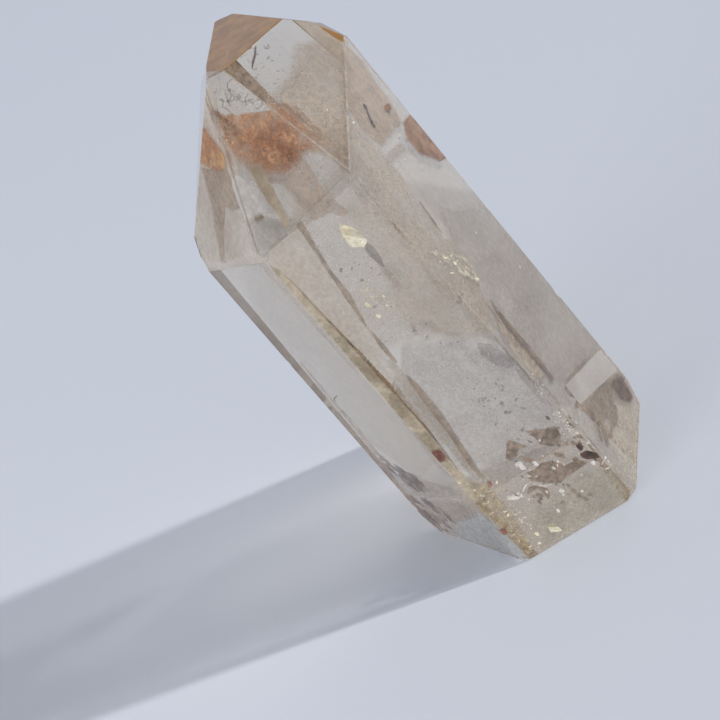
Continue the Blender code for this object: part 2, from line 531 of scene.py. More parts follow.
IRON_CORE_RIM = [
    (228, 124), (245, 118), (262, 122), (285, 120), (302, 140), (308, 156), (300, 167), (284, 173),
    (270, 171), (252, 161), (234, 148),
]
IRON_CORE_DARK = (0.36, 0.12, 0.05)
IRON_CORE_LIGHT = (0.86, 0.42, 0.20)

stain = new_skins()
add_skin(stain, POINT_FRONT, IRON_CORE_RIM, 3.9, soft=2.0, **IRON_TILT)
finish_inclusion(
    stain,
    cloudy("iron_core", IRON_CORE_DARK, IRON_CORE_LIGHT, 600.0, 0.9, level=0.42, spread=0.16),
)

IRON_SHADOW_RIM = [
    (252, 138), (266, 140), (282, 148), (292, 146), (303, 152), (303, 164), (290, 170), (272, 168),
    (256, 158),
]
IRON_SHADOW_DARK = (0.24, 0.10, 0.05)
IRON_SHADOW_LIGHT = (0.52, 0.32, 0.20)

stain = new_skins()
add_skin(stain, POINT_FRONT, IRON_SHADOW_RIM, 3.5, soft=1.4, **IRON_TILT)
finish_inclusion(
    stain,
    cloudy("iron_shadow", IRON_SHADOW_DARK, IRON_SHADOW_LIGHT, 900.0, 0.8, level=0.5, spread=0.12),
)

IRON_CRUST_RIM = [
    (209, 106, 0.6), (224, 113, 0.3), (240, 112, 0.3), (262, 110, 0.3), (286, 108, 0.3),
    (301, 121, 0.6), (314, 138, 0.8), (322, 152), (306, 156), (299, 170, 0.8), (285, 175, 0.8),
    (262, 171), (244, 164), (232, 154), (218, 140),
]
IRON_CRUST_DARK = (0.36, 0.145, 0.06)
IRON_CRUST_LIGHT = (0.92, 0.55, 0.30)

stain = new_skins()
add_skin(stain, POINT_FRONT, IRON_CRUST_RIM, 1.4, soft=1.4, lies="flush", cell=FINE_CELL)
finish_inclusion(
    stain,
    cloudy("iron_crust", IRON_CRUST_DARK, IRON_CRUST_LIGHT, 600.0, 0.85, level=0.46, spread=0.12),
)

IRON_TAIL_LINE = [(284, 107, 6), (299, 119, 12), (312, 133, 13), (323, 147, 11), (337, 163, 4)]
IRON_TAIL_DARK = (0.54, 0.38, 0.27)
IRON_TAIL_LIGHT = (0.84, 0.66, 0.51)

stain = new_skins()
add_skin(stain, POINT_FRONT, ribbon(IRON_TAIL_LINE), 1.2, soft=0.9, lies="flush", cell=FINE_CELL)
finish_inclusion(
    stain, cloudy("iron_tail", IRON_TAIL_DARK, IRON_TAIL_LIGHT, 700.0, 0.75)
)

IRON_STREAKS_RIM = [
    (204, 92, 0.2), (212, 102, 0.5), (222, 113, 0.5), (234, 122), (243, 130), (240, 140),
    (230, 138), (220, 132), (211, 124), (206, 112, 0.3),
]
IRON_STREAKS_DARK = (0.14, 0.07, 0.04)
IRON_STREAKS_LIGHT = (0.60, 0.42, 0.27)

stain = new_skins()
add_skin(stain, POINT_FRONT, IRON_STREAKS_RIM, 0.9, soft=0.8, lies="flush", cell=FINE_CELL)
finish_inclusion(
    stain,
    cloudy(
        "iron_streaks", IRON_STREAKS_DARK, IRON_STREAKS_LIGHT, 900.0, 0.9, level=0.38, spread=0.15
    ),
)

IRON_LEFT_RIM = [
    (194, 126, 0.2), (206, 128), (213, 138), (225, 154), (228, 168), (218, 176, 1.2),
    (206, 170, 1.2), (194, 162, 0.2),
]
IRON_LEFT_DARK = (0.62, 0.21, 0.06)
IRON_LEFT_LIGHT = (1.0, 0.65, 0.27)

stain = new_skins()
add_skin(stain, POINT_LEFT, IRON_LEFT_RIM, 0.9, soft=0.7, lies="flush", cell=FINE_CELL)
finish_inclusion(
    stain,
    cloudy(
        "iron_left", IRON_LEFT_DARK, IRON_LEFT_LIGHT, 900.0, 0.92, level=0.3, specks=0.15, shine=0.1
    ),
)

IRON_RIGHT_RIM = [
    (408, 112, 0.1), (420, 124, 0.1), (436, 142, 0.1), (449, 157, 0.1), (438, 163, 0.8),
    (420, 157, 0.8), (407, 142, 0.8), (401, 122, 0.8),
]
IRON_RIGHT_FLECK = [(384, 104), (389, 102), (392, 108), (388, 113), (384, 110)]
IRON_RIGHT_DARK = (0.19, 0.08, 0.035)
IRON_RIGHT_LIGHT = (0.40, 0.24, 0.14)

stain = new_skins()
add_skin(stain, RIGHT, IRON_RIGHT_RIM, 0.5, soft=0.6, lies="flush", cell=FINE_CELL)
add_skin(stain, RIGHT, IRON_RIGHT_FLECK, 0.5, soft=0.3, lies="flush", cell=FINE_CELL)
finish_inclusion(
    stain,
    cloudy(
        "iron_right", IRON_RIGHT_DARK, IRON_RIGHT_LIGHT, 800.0, 0.97, ragged=0.8, level=0.15,
        specks=0.15, shine=0.1
    ),
)

IRON_RIM_LINE = [(347, 36, 3), (360, 51, 5), (380, 76, 5), (400, 99, 5), (412, 114, 4)]
IRON_RIM_DARK = (0.40, 0.22, 0.12)
IRON_RIM_LIGHT = (0.58, 0.38, 0.25)

stain = new_skins()
add_skin(
    stain, RIGHT, ribbon(IRON_RIM_LINE), 0.35, soft=0.3, ripple=0.03, lies="flush", cell=FINE_CELL
)
finish_inclusion(stain, cloudy("iron_rim", IRON_RIM_DARK, IRON_RIM_LIGHT, 500.0, 0.9))


def scatter(rim, count, draw):
    """Pixels strewn at random inside a rim of pixels."""
    low = [min(pixel[axis] for pixel in rim) for axis in (0, 1)]
    high = [max(pixel[axis] for pixel in rim) for axis in (0, 1)]
    found = []
    while len(found) < count:
        pixel = (draw.uniform(low[0], high[0]), draw.uniform(low[1], high[1]))
        if in_rim(*pixel, rim):
            found.append(pixel)
    return found


def between_sizes(sizes, draw):
    """A size between two, small ones being the more common."""
    return sizes[0] * (sizes[1] / sizes[0]) ** draw.random()


SPLINTER_SLIM = (0.25, 0.8)
SPLINTER_STRAY = 14.0


def splinter_rim(middle, size, lean, draw):
    """The rim of a small splinter: three to five corners about a pixel, drawn out one way."""
    corners = draw.randint(3, 5)
    slim = draw.uniform(*SPLINTER_SLIM)
    rim = []
    for number in range(corners):
        angle = 2.0 * pi * (number + draw.uniform(-0.3, 0.3)) / corners
        across, down = size / 2.0 * cos(angle), size / 2.0 * slim * sin(angle)
        turned = (across * cos(lean) - down * sin(lean), across * sin(lean) + down * cos(lean))
        rim.append((middle[0] + turned[0], middle[1] + turned[1]))
    return rim


def add_splinters(
    form, face, zone, count, depths, sizes, seed, lies="across", tilt=30.0, lean=None
):
    """Splinters strewn where they show inside a zone of pixels, each tilted its own way and drawn
    out any way, or about a lean from the horizontal."""
    draw = random.Random(seed)
    for pixel in scatter(zone, count, draw):
        way = draw.uniform(0.0, pi) if lean is None else radians(draw.gauss(lean, SPLINTER_STRAY))
        rim = splinter_rim(pixel, between_sizes(sizes, draw), way, draw)
        tip, swing = draw.uniform(-tilt, tilt), draw.uniform(-tilt, tilt)
        add_skin(form, face, rim, draw.uniform(*depths), 0.1, tip, swing, 0.1, lies, FINEST_CELL)


# Painted highlights: these bright yellow splinters stand for glints where the stained cracks catch
# the sun. The front ones are also turned towards the sun, and the left ones lie flush.
IRON_GLEAM_FRONT = [(212, 128), (222, 127), (234, 138), (239, 152), (229, 153), (216, 143)]
IRON_GLEAM_LEFT = [(196, 144), (206, 142), (212, 152), (216, 164), (208, 167), (198, 157)]
IRON_GLEAM_SIZES = (2, 6)
IRON_GLEAM_DARK = (0.90, 0.50, 0.14)
IRON_GLEAM_LIGHT = (1.0, 0.88, 0.56)

stain = new_skins()
add_splinters(
    stain, POINT_FRONT, IRON_GLEAM_FRONT, 26, (0.5, 0.9), IRON_GLEAM_SIZES, 51, "sunlit", 15.0
)
add_splinters(
    stain, POINT_LEFT, IRON_GLEAM_LEFT, 22, (0.4, 0.8), IRON_GLEAM_SIZES, 52, "flush", 6.0
)
finish_inclusion(
    stain, cloudy("iron_painted_glints", IRON_GLEAM_DARK, IRON_GLEAM_LIGHT, 1200.0, 0.9, specks=0.1),
)

# The red grains
# Three specks of red iron oxide near the foot and the edge, as thin skins under the front face, and
# fine brown grains in the cloud, each a small solid lump grown into the quartz.
RED_SPOT_RIMS = [
    [(431, 450), (440, 448), (447, 456), (446, 461), (437, 465), (430, 459)],
    [(485, 481), (492, 480), (494, 486), (488, 489)],
    [(498, 529), (505, 526), (509, 533), (502, 538), (497, 535)],
]
RED_SPOT_DEPTH = 0.2
RED_SPOT_DARK = (0.22, 0.06, 0.04)
RED_SPOT_LIGHT = (0.56, 0.21, 0.12)

spots = new_skins()
for rim in RED_SPOT_RIMS:
    add_skin(
        spots, FRONT, rim, RED_SPOT_DEPTH, soft=0.45, ripple=0.02, lies="flush", cell=FINEST_CELL
    )
finish_inclusion(
    spots, cloudy("red_spots", RED_SPOT_DARK, RED_SPOT_LIGHT, 1500.0, 0.95, specks=0.15),
)


def grainy(name, dark, light, grain, roughness=0.5):
    """The look of a small solid grain: two tones in fine patches, and a little relief."""
    material = bpy.data.materials.new(name)
    material.use_nodes = True
    nodes = material.node_tree.nodes
    links = material.node_tree.links
    nodes["Principled BSDF"].inputs["Roughness"].default_value = roughness
    where = nodes.new("ShaderNodeTexCoord")
    patches = nodes.new("ShaderNodeTexNoise")
    patches.inputs["Scale"].default_value = grain
    patches.inputs["Detail"].default_value = 3.0
    links.new(where.outputs["Object"], patches.inputs["Vector"])
    two_tones(material, dark, light, patches.outputs[0])
    raise_by(material, patches.outputs[0], 0.3)
    return material


def add_grain(form, spot, size, flat, draw):
    """One small crystal grain, turned at random and flattened."""
    axis = Vector((draw.gauss(0.0, 1.0), draw.gauss(0.0, 1.0), 1.0))
    turn = Matrix.Rotation(draw.uniform(0.0, 2.0 * pi), 4, axis)
    shape = Matrix.Diagonal((1.0, draw.uniform(0.5, 1.0), flat, 1.0))
    place = Matrix.Translation(spot) @ turn @ shape
    bmesh.ops.create_icosphere(form, subdivisions=1, radius=size * MM / 2.0, matrix=place)


def add_grains(form, face, rim, count, depths, sizes, seed, flat=0.4):
    """Grains strewn where they show inside a rim of pixels, at varied depths."""
    enter, outward = through(face)
    draw = random.Random(seed)
    for pixel in scatter(rim, count, draw):
        start, way = enter(pixel)
        spot = start + way * draw.uniform(*depths) * MM
        add_grain(form, spot, between_sizes(sizes, draw), flat, draw)


RUST_ZONE = [(245, 130), (300, 130), (306, 160), (285, 172), (255, 160)]
RUST_EDGE_ZONE = [(206, 100), (216, 108), (240, 132), (232, 142), (216, 130)]
RUST_TAIL_ZONE = [(295, 145), (312, 145), (334, 200), (322, 222), (300, 180)]
RUST_GRAIN_SIZES = (0.08, 0.34)
RUST_GRAIN_DARK = (0.16, 0.06, 0.03)
RUST_GRAIN_LIGHT = (0.32, 0.16, 0.09)

grains = bmesh.new()
add_grains(grains, POINT_FRONT, RUST_ZONE, 90, (0.9, 1.3), RUST_GRAIN_SIZES, seed=11)
add_grains(grains, POINT_FRONT, RUST_EDGE_ZONE, 60, (0.5, 0.9), RUST_GRAIN_SIZES, seed=12)
add_grains(grains, POINT_FRONT, RUST_TAIL_ZONE, 36, (0.8, 1.4), RUST_GRAIN_SIZES, seed=13)
finish_inclusion(
    grains, grainy("rust_grains", RUST_GRAIN_DARK, RUST_GRAIN_LIGHT, 3000.0)
)

# The veils of the point
# Cloudy skins of tiny bubbles where cracks in the point healed while it grew. They lie just under
# the faces of the point, and iron tints them tan and beige. The tan skin under the very top is
# painted reflection, for the tan that the top faces show where they turn the light back inside.
# Painted reflection: this tan skin colours the top of the point as it looks where its faces turn
# the light back inside.
TIP_RIM = [
    (213, 21), (232, 15), (246, 13), (284, 17), (265, 33), (245, 51), (222, 71), (206, 72),
    (206, 50), (209, 30),
]
TIP_SHOULDER_RIM = [(312, 20), (330, 23), (345, 33), (344, 44), (334, 38), (321, 29)]
TIP_REFLECTION_DARK = (0.31, 0.15, 0.035)
TIP_REFLECTION_LIGHT = (0.45, 0.25, 0.075)

veil = new_skins()
add_skin(veil, POINT_TOP, TIP_RIM, 0.2, soft=0.1, ripple=0.02, lies="flush")
add_skin(
    veil, POINT_RIGHT, TIP_SHOULDER_RIM, 0.3, soft=0.2, ripple=0.02, lies="flush", cell=FINE_CELL
)
finish_inclusion(
    veil,
    cloudy(
        "tip_painted_reflection", TIP_REFLECTION_DARK, TIP_REFLECTION_LIGHT, 500.0, 0.98, ragged=0.3, level=0.1, specks=0.08, shine=0.0
    ),
)

BEIGE_RIM = [
    (240, 160), (262, 172), (285, 172), (298, 152), (307, 157, 0.4), (315, 172, 0.3),
    (323, 188, 0.3), (335, 200, 0.3), (350, 214, 0.2), (352, 222, 0.3), (330, 215, 0.6),
    (312, 222, 0.6), (300, 214), (290, 198), (278, 186, 0.5), (266, 184), (252, 178),
]
BEIGE_DARK = (0.43, 0.33, 0.25)
BEIGE_LIGHT = (0.66, 0.54, 0.43)

veil = new_skins()
add_skin(veil, POINT_FRONT, BEIGE_RIM, 3.0, soft=1.0, tip=4.0, swing=-10.0)
finish_inclusion(
    veil, cloudy("beige_veil", BEIGE_DARK, BEIGE_LIGHT, 500.0, 0.8, level=0.3)
)

POINT_HAZE_RIM = [(204, 76), (222, 68), (354, 170), (266, 254), (256, 262)]
POINT_HAZE_DARK = (0.60, 0.54, 0.46)
POINT_HAZE_LIGHT = (0.86, 0.81, 0.73)

veil = new_skins()
add_skin(veil, POINT_FRONT, POINT_HAZE_RIM, 6.5, soft=0.2, ripple=0.3, lies="flush")
finish_inclusion(
    veil,
    cloudy("point_haze", POINT_HAZE_DARK, POINT_HAZE_LIGHT, 160.0, 0.55, level=0.3, spread=0.3),
)

PALE_POINT_RIM = [
    (232, 172, 0.5), (250, 180), (272, 190), (290, 205), (300, 216, 0.5), (286, 220), (266, 216),
    (246, 222, 0.4), (240, 208, 0.2), (232, 188, 0.2),
]
PALE_POINT_DARK = (0.72, 0.70, 0.67)
PALE_POINT_LIGHT = (0.94, 0.93, 0.90)
DIM_POINT_RIM = [
    (246, 222, 1.0), (266, 214), (286, 218), (298, 224, 0.5), (266, 256, 0.2), (257, 260, 0.2),
]
DIM_POINT_DARK = (0.45, 0.42, 0.39)
DIM_POINT_LIGHT = (0.63, 0.61, 0.57)

veil = new_skins()
add_skin(veil, POINT_FRONT, PALE_POINT_RIM, 1.0, soft=1.0, ripple=0.1, lies="flush")
finish_inclusion(
    veil, cloudy("pale_point_veil", PALE_POINT_DARK, PALE_POINT_LIGHT, 200.0, 0.9, specks=0.2),
)
veil = new_skins()
add_skin(veil, POINT_FRONT, DIM_POINT_RIM, 1.2, soft=1.0, ripple=0.1, lies="flush")
finish_inclusion(
    veil, cloudy("dim_point_veil", DIM_POINT_DARK, DIM_POINT_LIGHT, 200.0, 0.9, specks=0.2),
)

POINT_BAND_RIM = [
    (251, 158, 0.3), (263, 170, 0.3), (273, 186), (281, 202), (288, 216), (291, 231), (284, 227),
    (276, 214), (267, 202), (258, 188), (250, 172, 0.4),
]
POINT_BAND_DARK = (0.40, 0.31, 0.19)
POINT_BAND_LIGHT = (0.60, 0.50, 0.36)

veil = new_skins()
add_skin(
    veil, POINT_FRONT, POINT_BAND_RIM, 0.5, soft=0.25, ripple=0.05, lies="flush", cell=FINE_CELL
)
finish_inclusion(
    veil, cloudy("point_band", POINT_BAND_DARK, POINT_BAND_LIGHT, 500.0, 0.9, specks=0.15),
)

LEFT_POINT_RIM = [(204, 80), (262, 262), (200, 272), (190, 250), (196, 110)]
LEFT_POINT_DARK = (0.85, 0.77, 0.67)
LEFT_POINT_LIGHT = (1.0, 0.95, 0.86)

veil = new_skins()
add_skin(veil, POINT_LEFT, LEFT_POINT_RIM, 1.6, soft=0.2, ripple=0.2, lies="flush")
finish_inclusion(
    veil,
    cloudy(
        "left_point_veil", LEFT_POINT_DARK, LEFT_POINT_LIGHT, 200.0, 0.98, level=0.1, specks=0.15
    ),
)

LEFT_POINT_BAND_RIM = [
    (200, 166, 0.2), (214, 170), (226, 166, 0.2), (233, 184, 0.2), (242, 209), (232, 212),
    (226, 208), (224, 232), (225, 262), (220, 262), (216, 236), (211, 205),
]
LEFT_POINT_BAND_DARK = (0.56, 0.43, 0.31)
LEFT_POINT_BAND_LIGHT = (0.84, 0.70, 0.55)

veil = new_skins()
add_skin(
    veil, POINT_LEFT, LEFT_POINT_BAND_RIM, 1.4, soft=0.4, ripple=0.05, lies="flush", cell=FINE_CELL
)
finish_inclusion(
    veil, cloudy("left_point_band", LEFT_POINT_BAND_DARK, LEFT_POINT_BAND_LIGHT, 500.0, 0.75),
)

# The veils of the right face
# More healed cracks, under the face that looks right: a taupe one that runs down from the point,
# and the brown bands that border the skins near the foot. There a grey skin is painted reflection,
# for the grey that the face turns back inside, and a slanting light one is painted light, for
# bright light seen through clear quartz.
RIGHT_TAUPE_POINT = [
    (292, 40), (330, 34), (342, 45, 0.2), (346, 100, 0.2), (350, 168, 0.3), (330, 150, 0.3),
    (305, 122, 0.3), (288, 107, 0.6), (276, 103), (270, 92), (285, 75),
]
RIGHT_TAUPE_RIM = [
    (351, 168, 0.2), (348, 110, 0.3), (356, 122, 0.3), (366, 136, 0.3), (384, 152, 0.5), (402, 140),
    (418, 152), (396, 164, 0.3), (416, 200, 0.3), (440, 232, 0.4), (470, 262, 0.8), (484, 290),
    (500, 338, 0.3), (450, 284, 0.3), (400, 226, 0.3),
]
RIGHT_TAUPE_DARK = (0.32, 0.25, 0.18)
RIGHT_TAUPE_LIGHT = (0.50, 0.41, 0.305)

veil = new_skins()
add_skin(veil, POINT_RIGHT, RIGHT_TAUPE_POINT, 1.2, soft=1.6, lies="flush")
add_skin(veil, RIGHT, RIGHT_TAUPE_RIM, 1.2, soft=1.6, lies="flush")
finish_inclusion(
    veil,
    cloudy(
        "right_taupe", RIGHT_TAUPE_DARK, RIGHT_TAUPE_LIGHT, 160.0, 0.68, level=0.33, spread=0.25
    ),
)

CREAM_RIM = [
    (346, 44, 0.2), (366, 64), (392, 100), (406, 124), (384, 150, 0.4), (366, 136, 0.3),
    (353, 118, 0.3), (347, 106, 0.3),
]
CREAM_DARK = (0.32, 0.22, 0.135)
CREAM_LIGHT = (0.52, 0.405, 0.29)

veil = new_skins()
add_skin(veil, RIGHT, CREAM_RIM, 1.0, soft=1.2, lies="flush")
finish_inclusion(
    veil, cloudy("cream_veil", CREAM_DARK, CREAM_LIGHT, 300.0, 0.85, level=0.22, spread=0.25),
)

RIGHT_HAZE_RIM = [(350, 174), (342, 30), (384, 76), (484, 198), (642, 394), (642, 492), (560, 408)]
RIGHT_HAZE_POINT = [(256, 96, 1.5), (300, 56, 1.5), (304, 17), (346, 30), (352, 174)]
RIGHT_HAZE_DARK = (0.40, 0.35, 0.29)
RIGHT_HAZE_LIGHT = (0.60, 0.54, 0.47)

veil = new_skins()
add_skin(veil, RIGHT, RIGHT_HAZE_RIM, 2.4, soft=0.2, ripple=0.5, lies="flush")
add_skin(veil, POINT_RIGHT, RIGHT_HAZE_POINT, 2.0, soft=0.2, ripple=0.3, lies="flush")
finish_inclusion(
    veil,
    cloudy("right_haze", RIGHT_HAZE_DARK, RIGHT_HAZE_LIGHT, 110.0, 0.42, level=0.3, spread=0.35),
)

# Painted reflection: this grey skin stands for the grey that the face turns back inside near the
# foot.
RIGHT_GREY_RIM = [
    (430, 196, 3.0), (484, 200, 0.2), (562, 298, 0.2), (604, 346, 0.2), (566, 384, 0.2),
    (560, 404, 0.2), (520, 358, 0.2), (470, 300),
]
RIGHT_GREY_DARK = (0.35, 0.315, 0.28)
RIGHT_GREY_LIGHT = (0.44, 0.40, 0.36)

veil = new_skins()
add_skin(veil, RIGHT, RIGHT_GREY_RIM, 1.6, soft=2.5, ripple=0.1, lies="flush")
finish_inclusion(
    veil,
    cloudy("right_painted_reflection", RIGHT_GREY_DARK, RIGHT_GREY_LIGHT, 160.0, 0.8, level=0.15, specks=0.2),
)

# Painted light: this pale skin stands for the bright light seen through a clear part of the face.
LIGHT_BAR_RIM = [(565, 385), (600, 349), (618, 370), (580, 405)]
LIGHT_BAR_DARK = (0.56, 0.53, 0.49)
LIGHT_BAR_LIGHT = (0.64, 0.62, 0.58)

veil = new_skins()
add_skin(veil, RIGHT, LIGHT_BAR_RIM, 0.6, soft=0.15, ripple=0.05, lies="flush")
finish_inclusion(
    veil, cloudy("painted_light_bar", LIGHT_BAR_DARK, LIGHT_BAR_LIGHT, 150.0, 0.6, level=0.1, specks=0.1),
)

BROWN_UNDER_RIM = [
    (580, 406, 0.1), (618, 371, 0.1), (626, 378, 0.3), (620, 396), (612, 412), (604, 424),
    (596, 424), (588, 414),
]
BROWN_OVER_RIM = [(565, 386, 0.1), (566, 376, 0.8), (582, 358, 0.8), (599, 349, 0.1)]
BROWN_STREAK_LINES = [
    [(614, 404, 5), (615, 418, 8), (611, 432, 5)], [(600, 424, 3), (606, 436, 7), (608, 449, 3)],
    [(594, 420, 3), (599, 432, 5), (603, 444, 3)],
]
BROWN_UNDER_DARK = (0.15, 0.105, 0.06)
BROWN_UNDER_LIGHT = (0.36, 0.29, 0.20)

veil = new_skins()
add_skin(veil, RIGHT, BROWN_UNDER_RIM, 0.6, soft=1.0, ripple=0.05, lies="flush", cell=FINE_CELL)
add_skin(veil, RIGHT, BROWN_OVER_RIM, 0.6, soft=0.5, ripple=0.05, lies="flush", cell=FINE_CELL)
for line in BROWN_STREAK_LINES:
    add_skin(veil, RIGHT, ribbon(line), 0.45, soft=0.4, ripple=0.05, lies="flush", cell=FINE_CELL)
finish_inclusion(
    veil, cloudy("brown_border", BROWN_UNDER_DARK, BROWN_UNDER_LIGHT, 500.0, 0.85, specks=0.2),
)

BROWN_PATCH_RIM = [
    (611, 379), (617, 375), (622, 376), (628, 384), (635, 398), (631, 405), (621, 403), (617, 395),
    (611, 389),
]
BROWN_PATCH_SPOTS = [
    [(619, 382, 2), (624, 388, 6), (628, 396, 8), (630, 402, 5)],
    [(618, 380, 4), (620, 386, 4), (619, 393, 2)],
]
BROWN_PATCH_DARK = (0.075, 0.045, 0.025)
BROWN_PATCH_LIGHT = (0.23, 0.15, 0.095)

veil = new_skins()
add_skin(veil, RIGHT, BROWN_PATCH_RIM, 0.5, soft=0.7, ripple=0.05, lies="flush", cell=FINE_CELL)
for line in BROWN_PATCH_SPOTS:
    add_skin(veil, RIGHT, ribbon(line), 0.35, soft=0.5, ripple=0.05, lies="flush", cell=FINEST_CELL)
finish_inclusion(
    veil,
    cloudy("brown_patch", BROWN_PATCH_DARK, BROWN_PATCH_LIGHT, 900.0, 0.92, specks=0.15, shine=0.1),
)

RIGHT_BAND_LINE = [
    (490, 299, 2), (498, 312, 5), (512, 330, 6.5), (523, 343, 7), (533, 355, 7), (543, 367, 6),
    (554, 380, 4),
]
RIGHT_BAND_SHORT = [(419, 201, 2), (426, 211, 3), (433, 221, 3), (442, 234, 1.5)]
RIGHT_BAND_DARK = (0.10, 0.055, 0.03)
RIGHT_BAND_LIGHT = (0.27, 0.165, 0.085)

veil = new_skins()
for line in (RIGHT_BAND_LINE, RIGHT_BAND_SHORT):
    add_skin(veil, RIGHT, ribbon(line), 0.5, soft=0.25, ripple=0.05, lies="flush", cell=FINEST_CELL)
finish_inclusion(
    veil, cloudy("right_bands", RIGHT_BAND_DARK, RIGHT_BAND_LIGHT, 700.0, 0.92)
)

RIGHT_TAN_LINE = [
    (486, 298, 3), (496, 313, 6), (505, 330, 12), (517, 346, 13), (529, 362, 13), (543, 379, 10),
]
RIGHT_TAN_DARK = (0.34, 0.26, 0.17)
RIGHT_TAN_LIGHT = (0.54, 0.44, 0.31)

veil = new_skins()
add_skin(
    veil, RIGHT, ribbon(RIGHT_TAN_LINE), 0.7, soft=0.6, ripple=0.05, lies="flush", cell=FINE_CELL
)
finish_inclusion(
    veil, cloudy("right_tan", RIGHT_TAN_DARK, RIGHT_TAN_LIGHT, 400.0, 0.75)
)

RIGHT_FOOT_RIM = [(616, 404), (638, 402, 0.2), (638, 488, 0.3), (622, 470), (610, 440)]
RIGHT_FOOT_DARK = (0.46, 0.41, 0.31)
RIGHT_FOOT_LIGHT = (0.62, 0.56, 0.45)

veil = new_skins()
add_skin(veil, RIGHT, RIGHT_FOOT_RIM, 0.8, soft=1.0, lies="flush")
finish_inclusion(
    veil,
    cloudy(
        "right_foot_veil", RIGHT_FOOT_DARK, RIGHT_FOOT_LIGHT, 150.0, 0.55, level=0.25, spread=0.3
    ),
)

# The veils of the front face
# The healed cracks under the large front face: a haze behind the whole of it, thinner in a clear
# patch, a taupe cloud above, a pale strip and an olive wedge on the left, and brown bands.
FRONT_HAZE_UPPER = [
    (264, 250, 0.2), (350, 168, 0.2), (560, 408), (500, 352), (440, 352), (400, 352),
    (372, 372, 0.3),
]
FRONT_HAZE_LOWER = [
    (560, 408, 0.2), (638, 494, 0.2), (600, 524, 0.3), (527, 560, 0.3), (456, 480), (500, 452),
    (530, 440),
]
FRONT_HAZE_DARK = (0.74, 0.63, 0.49)
FRONT_HAZE_LIGHT = (1.0, 0.91, 0.77)

veil = new_skins()
add_skin(veil, FRONT, FRONT_HAZE_UPPER, 6.0, soft=2.8, ripple=0.8, lies="flush")
add_skin(veil, FRONT, FRONT_HAZE_LOWER, 6.0, soft=2.4, ripple=0.8, lies="flush")
finish_inclusion(
    veil,
    cloudy("front_haze", FRONT_HAZE_DARK, FRONT_HAZE_LIGHT, 110.0, 0.5, level=0.3, spread=0.35),
)

CLEAR_PATCH_RIM = [
    (400, 340), (460, 335), (520, 352), (580, 420, 0.5), (560, 450), (500, 470), (456, 476, 1.0),
    (400, 400, 0.5),
]
CLEAR_PATCH_DARK = (0.47, 0.44, 0.42)
CLEAR_PATCH_LIGHT = (0.72, 0.69, 0.68)

veil = new_skins()
add_skin(veil, FRONT, CLEAR_PATCH_RIM, 5.0, soft=2.0, ripple=0.8, lies="flush")
finish_inclusion(
    veil,
    cloudy("clear_patch", CLEAR_PATCH_DARK, CLEAR_PATCH_LIGHT, 150.0, 0.5, level=0.35, spread=0.3),
)

FRONT_TAUPE_RIM = [
    (350, 176, 0.2), (400, 232, 0.2), (450, 290, 0.2), (488, 332, 0.6), (470, 342), (440, 340),
    (408, 338), (390, 318), (372, 268), (352, 236), (335, 205),
]
FRONT_TAUPE_DARK = (0.60, 0.49, 0.38)
FRONT_TAUPE_LIGHT = (0.86, 0.75, 0.62)

veil = new_skins()
add_skin(veil, FRONT, FRONT_TAUPE_RIM, 1.2, soft=2.6, lies="flush")
finish_inclusion(
    veil,
    cloudy(
        "front_taupe", FRONT_TAUPE_DARK, FRONT_TAUPE_LIGHT, 200.0, 0.66, level=0.33, spread=0.22
    ),
)

TAUPE_SMOKE_LINES = [
    [(372, 250, 4), (384, 268, 12), (398, 286, 14), (414, 300, 6)],
    [(398, 236, 4), (420, 262, 10), (440, 290, 12), (462, 318, 5)],
    [(408, 318, 5), (430, 326, 12), (456, 336, 10), (474, 346, 4)],
]
TAUPE_SMOKE_DARK = (0.44, 0.34, 0.25)
TAUPE_SMOKE_LIGHT = (0.72, 0.61, 0.49)

veil = new_skins()
for line in TAUPE_SMOKE_LINES:
    add_skin(veil, FRONT, ribbon(line), 1.0, soft=1.1, ripple=0.1, lies="flush")
finish_inclusion(
    veil, cloudy("taupe_smoke", TAUPE_SMOKE_DARK, TAUPE_SMOKE_LIGHT, 500.0, 0.7, level=0.42),
)

PALE_STRIP_RIM = [
    (268, 264, 0.1), (270, 251, 0.1), (284, 238, 0.1), (300, 226, 0.3), (345, 300, 0.3), (384, 348),
    (398, 366, 0.3), (394, 388, 0.2), (378, 372, 0.1), (360, 352, 0.1), (325, 316, 0.1),
    (293, 282, 0.1),
]
PALE_STRIP_DARK = (0.90, 0.82, 0.71)
PALE_STRIP_LIGHT = (1.0, 0.95, 0.86)

veil = new_skins()
add_skin(veil, FRONT, PALE_STRIP_RIM, 0.8, soft=1.2, ripple=0.05, lies="flush")
finish_inclusion(
    veil,
    cloudy("pale_strip", PALE_STRIP_DARK, PALE_STRIP_LIGHT, 150.0, 0.95, level=0.1, specks=0.15),
)

TAN_STRIP_RIM = [
    (380, 346), (390, 354, 0.3), (408, 376, 0.3), (458, 441, 0.3), (478, 470, 0.6), (470, 478, 0.6),
    (444, 446, 0.1), (413, 412, 0.1), (397, 394, 0.1), (384, 376),
]
TAN_STRIP_DARK = (0.62, 0.54, 0.44)
TAN_STRIP_LIGHT = (0.80, 0.73, 0.62)

veil = new_skins()
add_skin(veil, FRONT, TAN_STRIP_RIM, 0.8, soft=1.5, ripple=0.05, lies="flush")
finish_inclusion(
    veil, cloudy("tan_strip", TAN_STRIP_DARK, TAN_STRIP_LIGHT, 300.0, 0.9)
)

OLIVE_WEDGE_RIM = [
    (268, 265, 0.1), (280, 270), (293, 283), (325, 318), (342, 336), (360, 355), (382, 380),
    (397, 396), (413, 414), (440, 445), (456, 467, 0.2), (470, 478, 0.8), (482, 500, 0.8),
    (476, 504, 0.1), (400, 419, 0.1), (334, 342, 0.1),
]
OLIVE_WEDGE_DARK = (0.46, 0.38, 0.25)
OLIVE_WEDGE_LIGHT = (0.92, 0.81, 0.62)

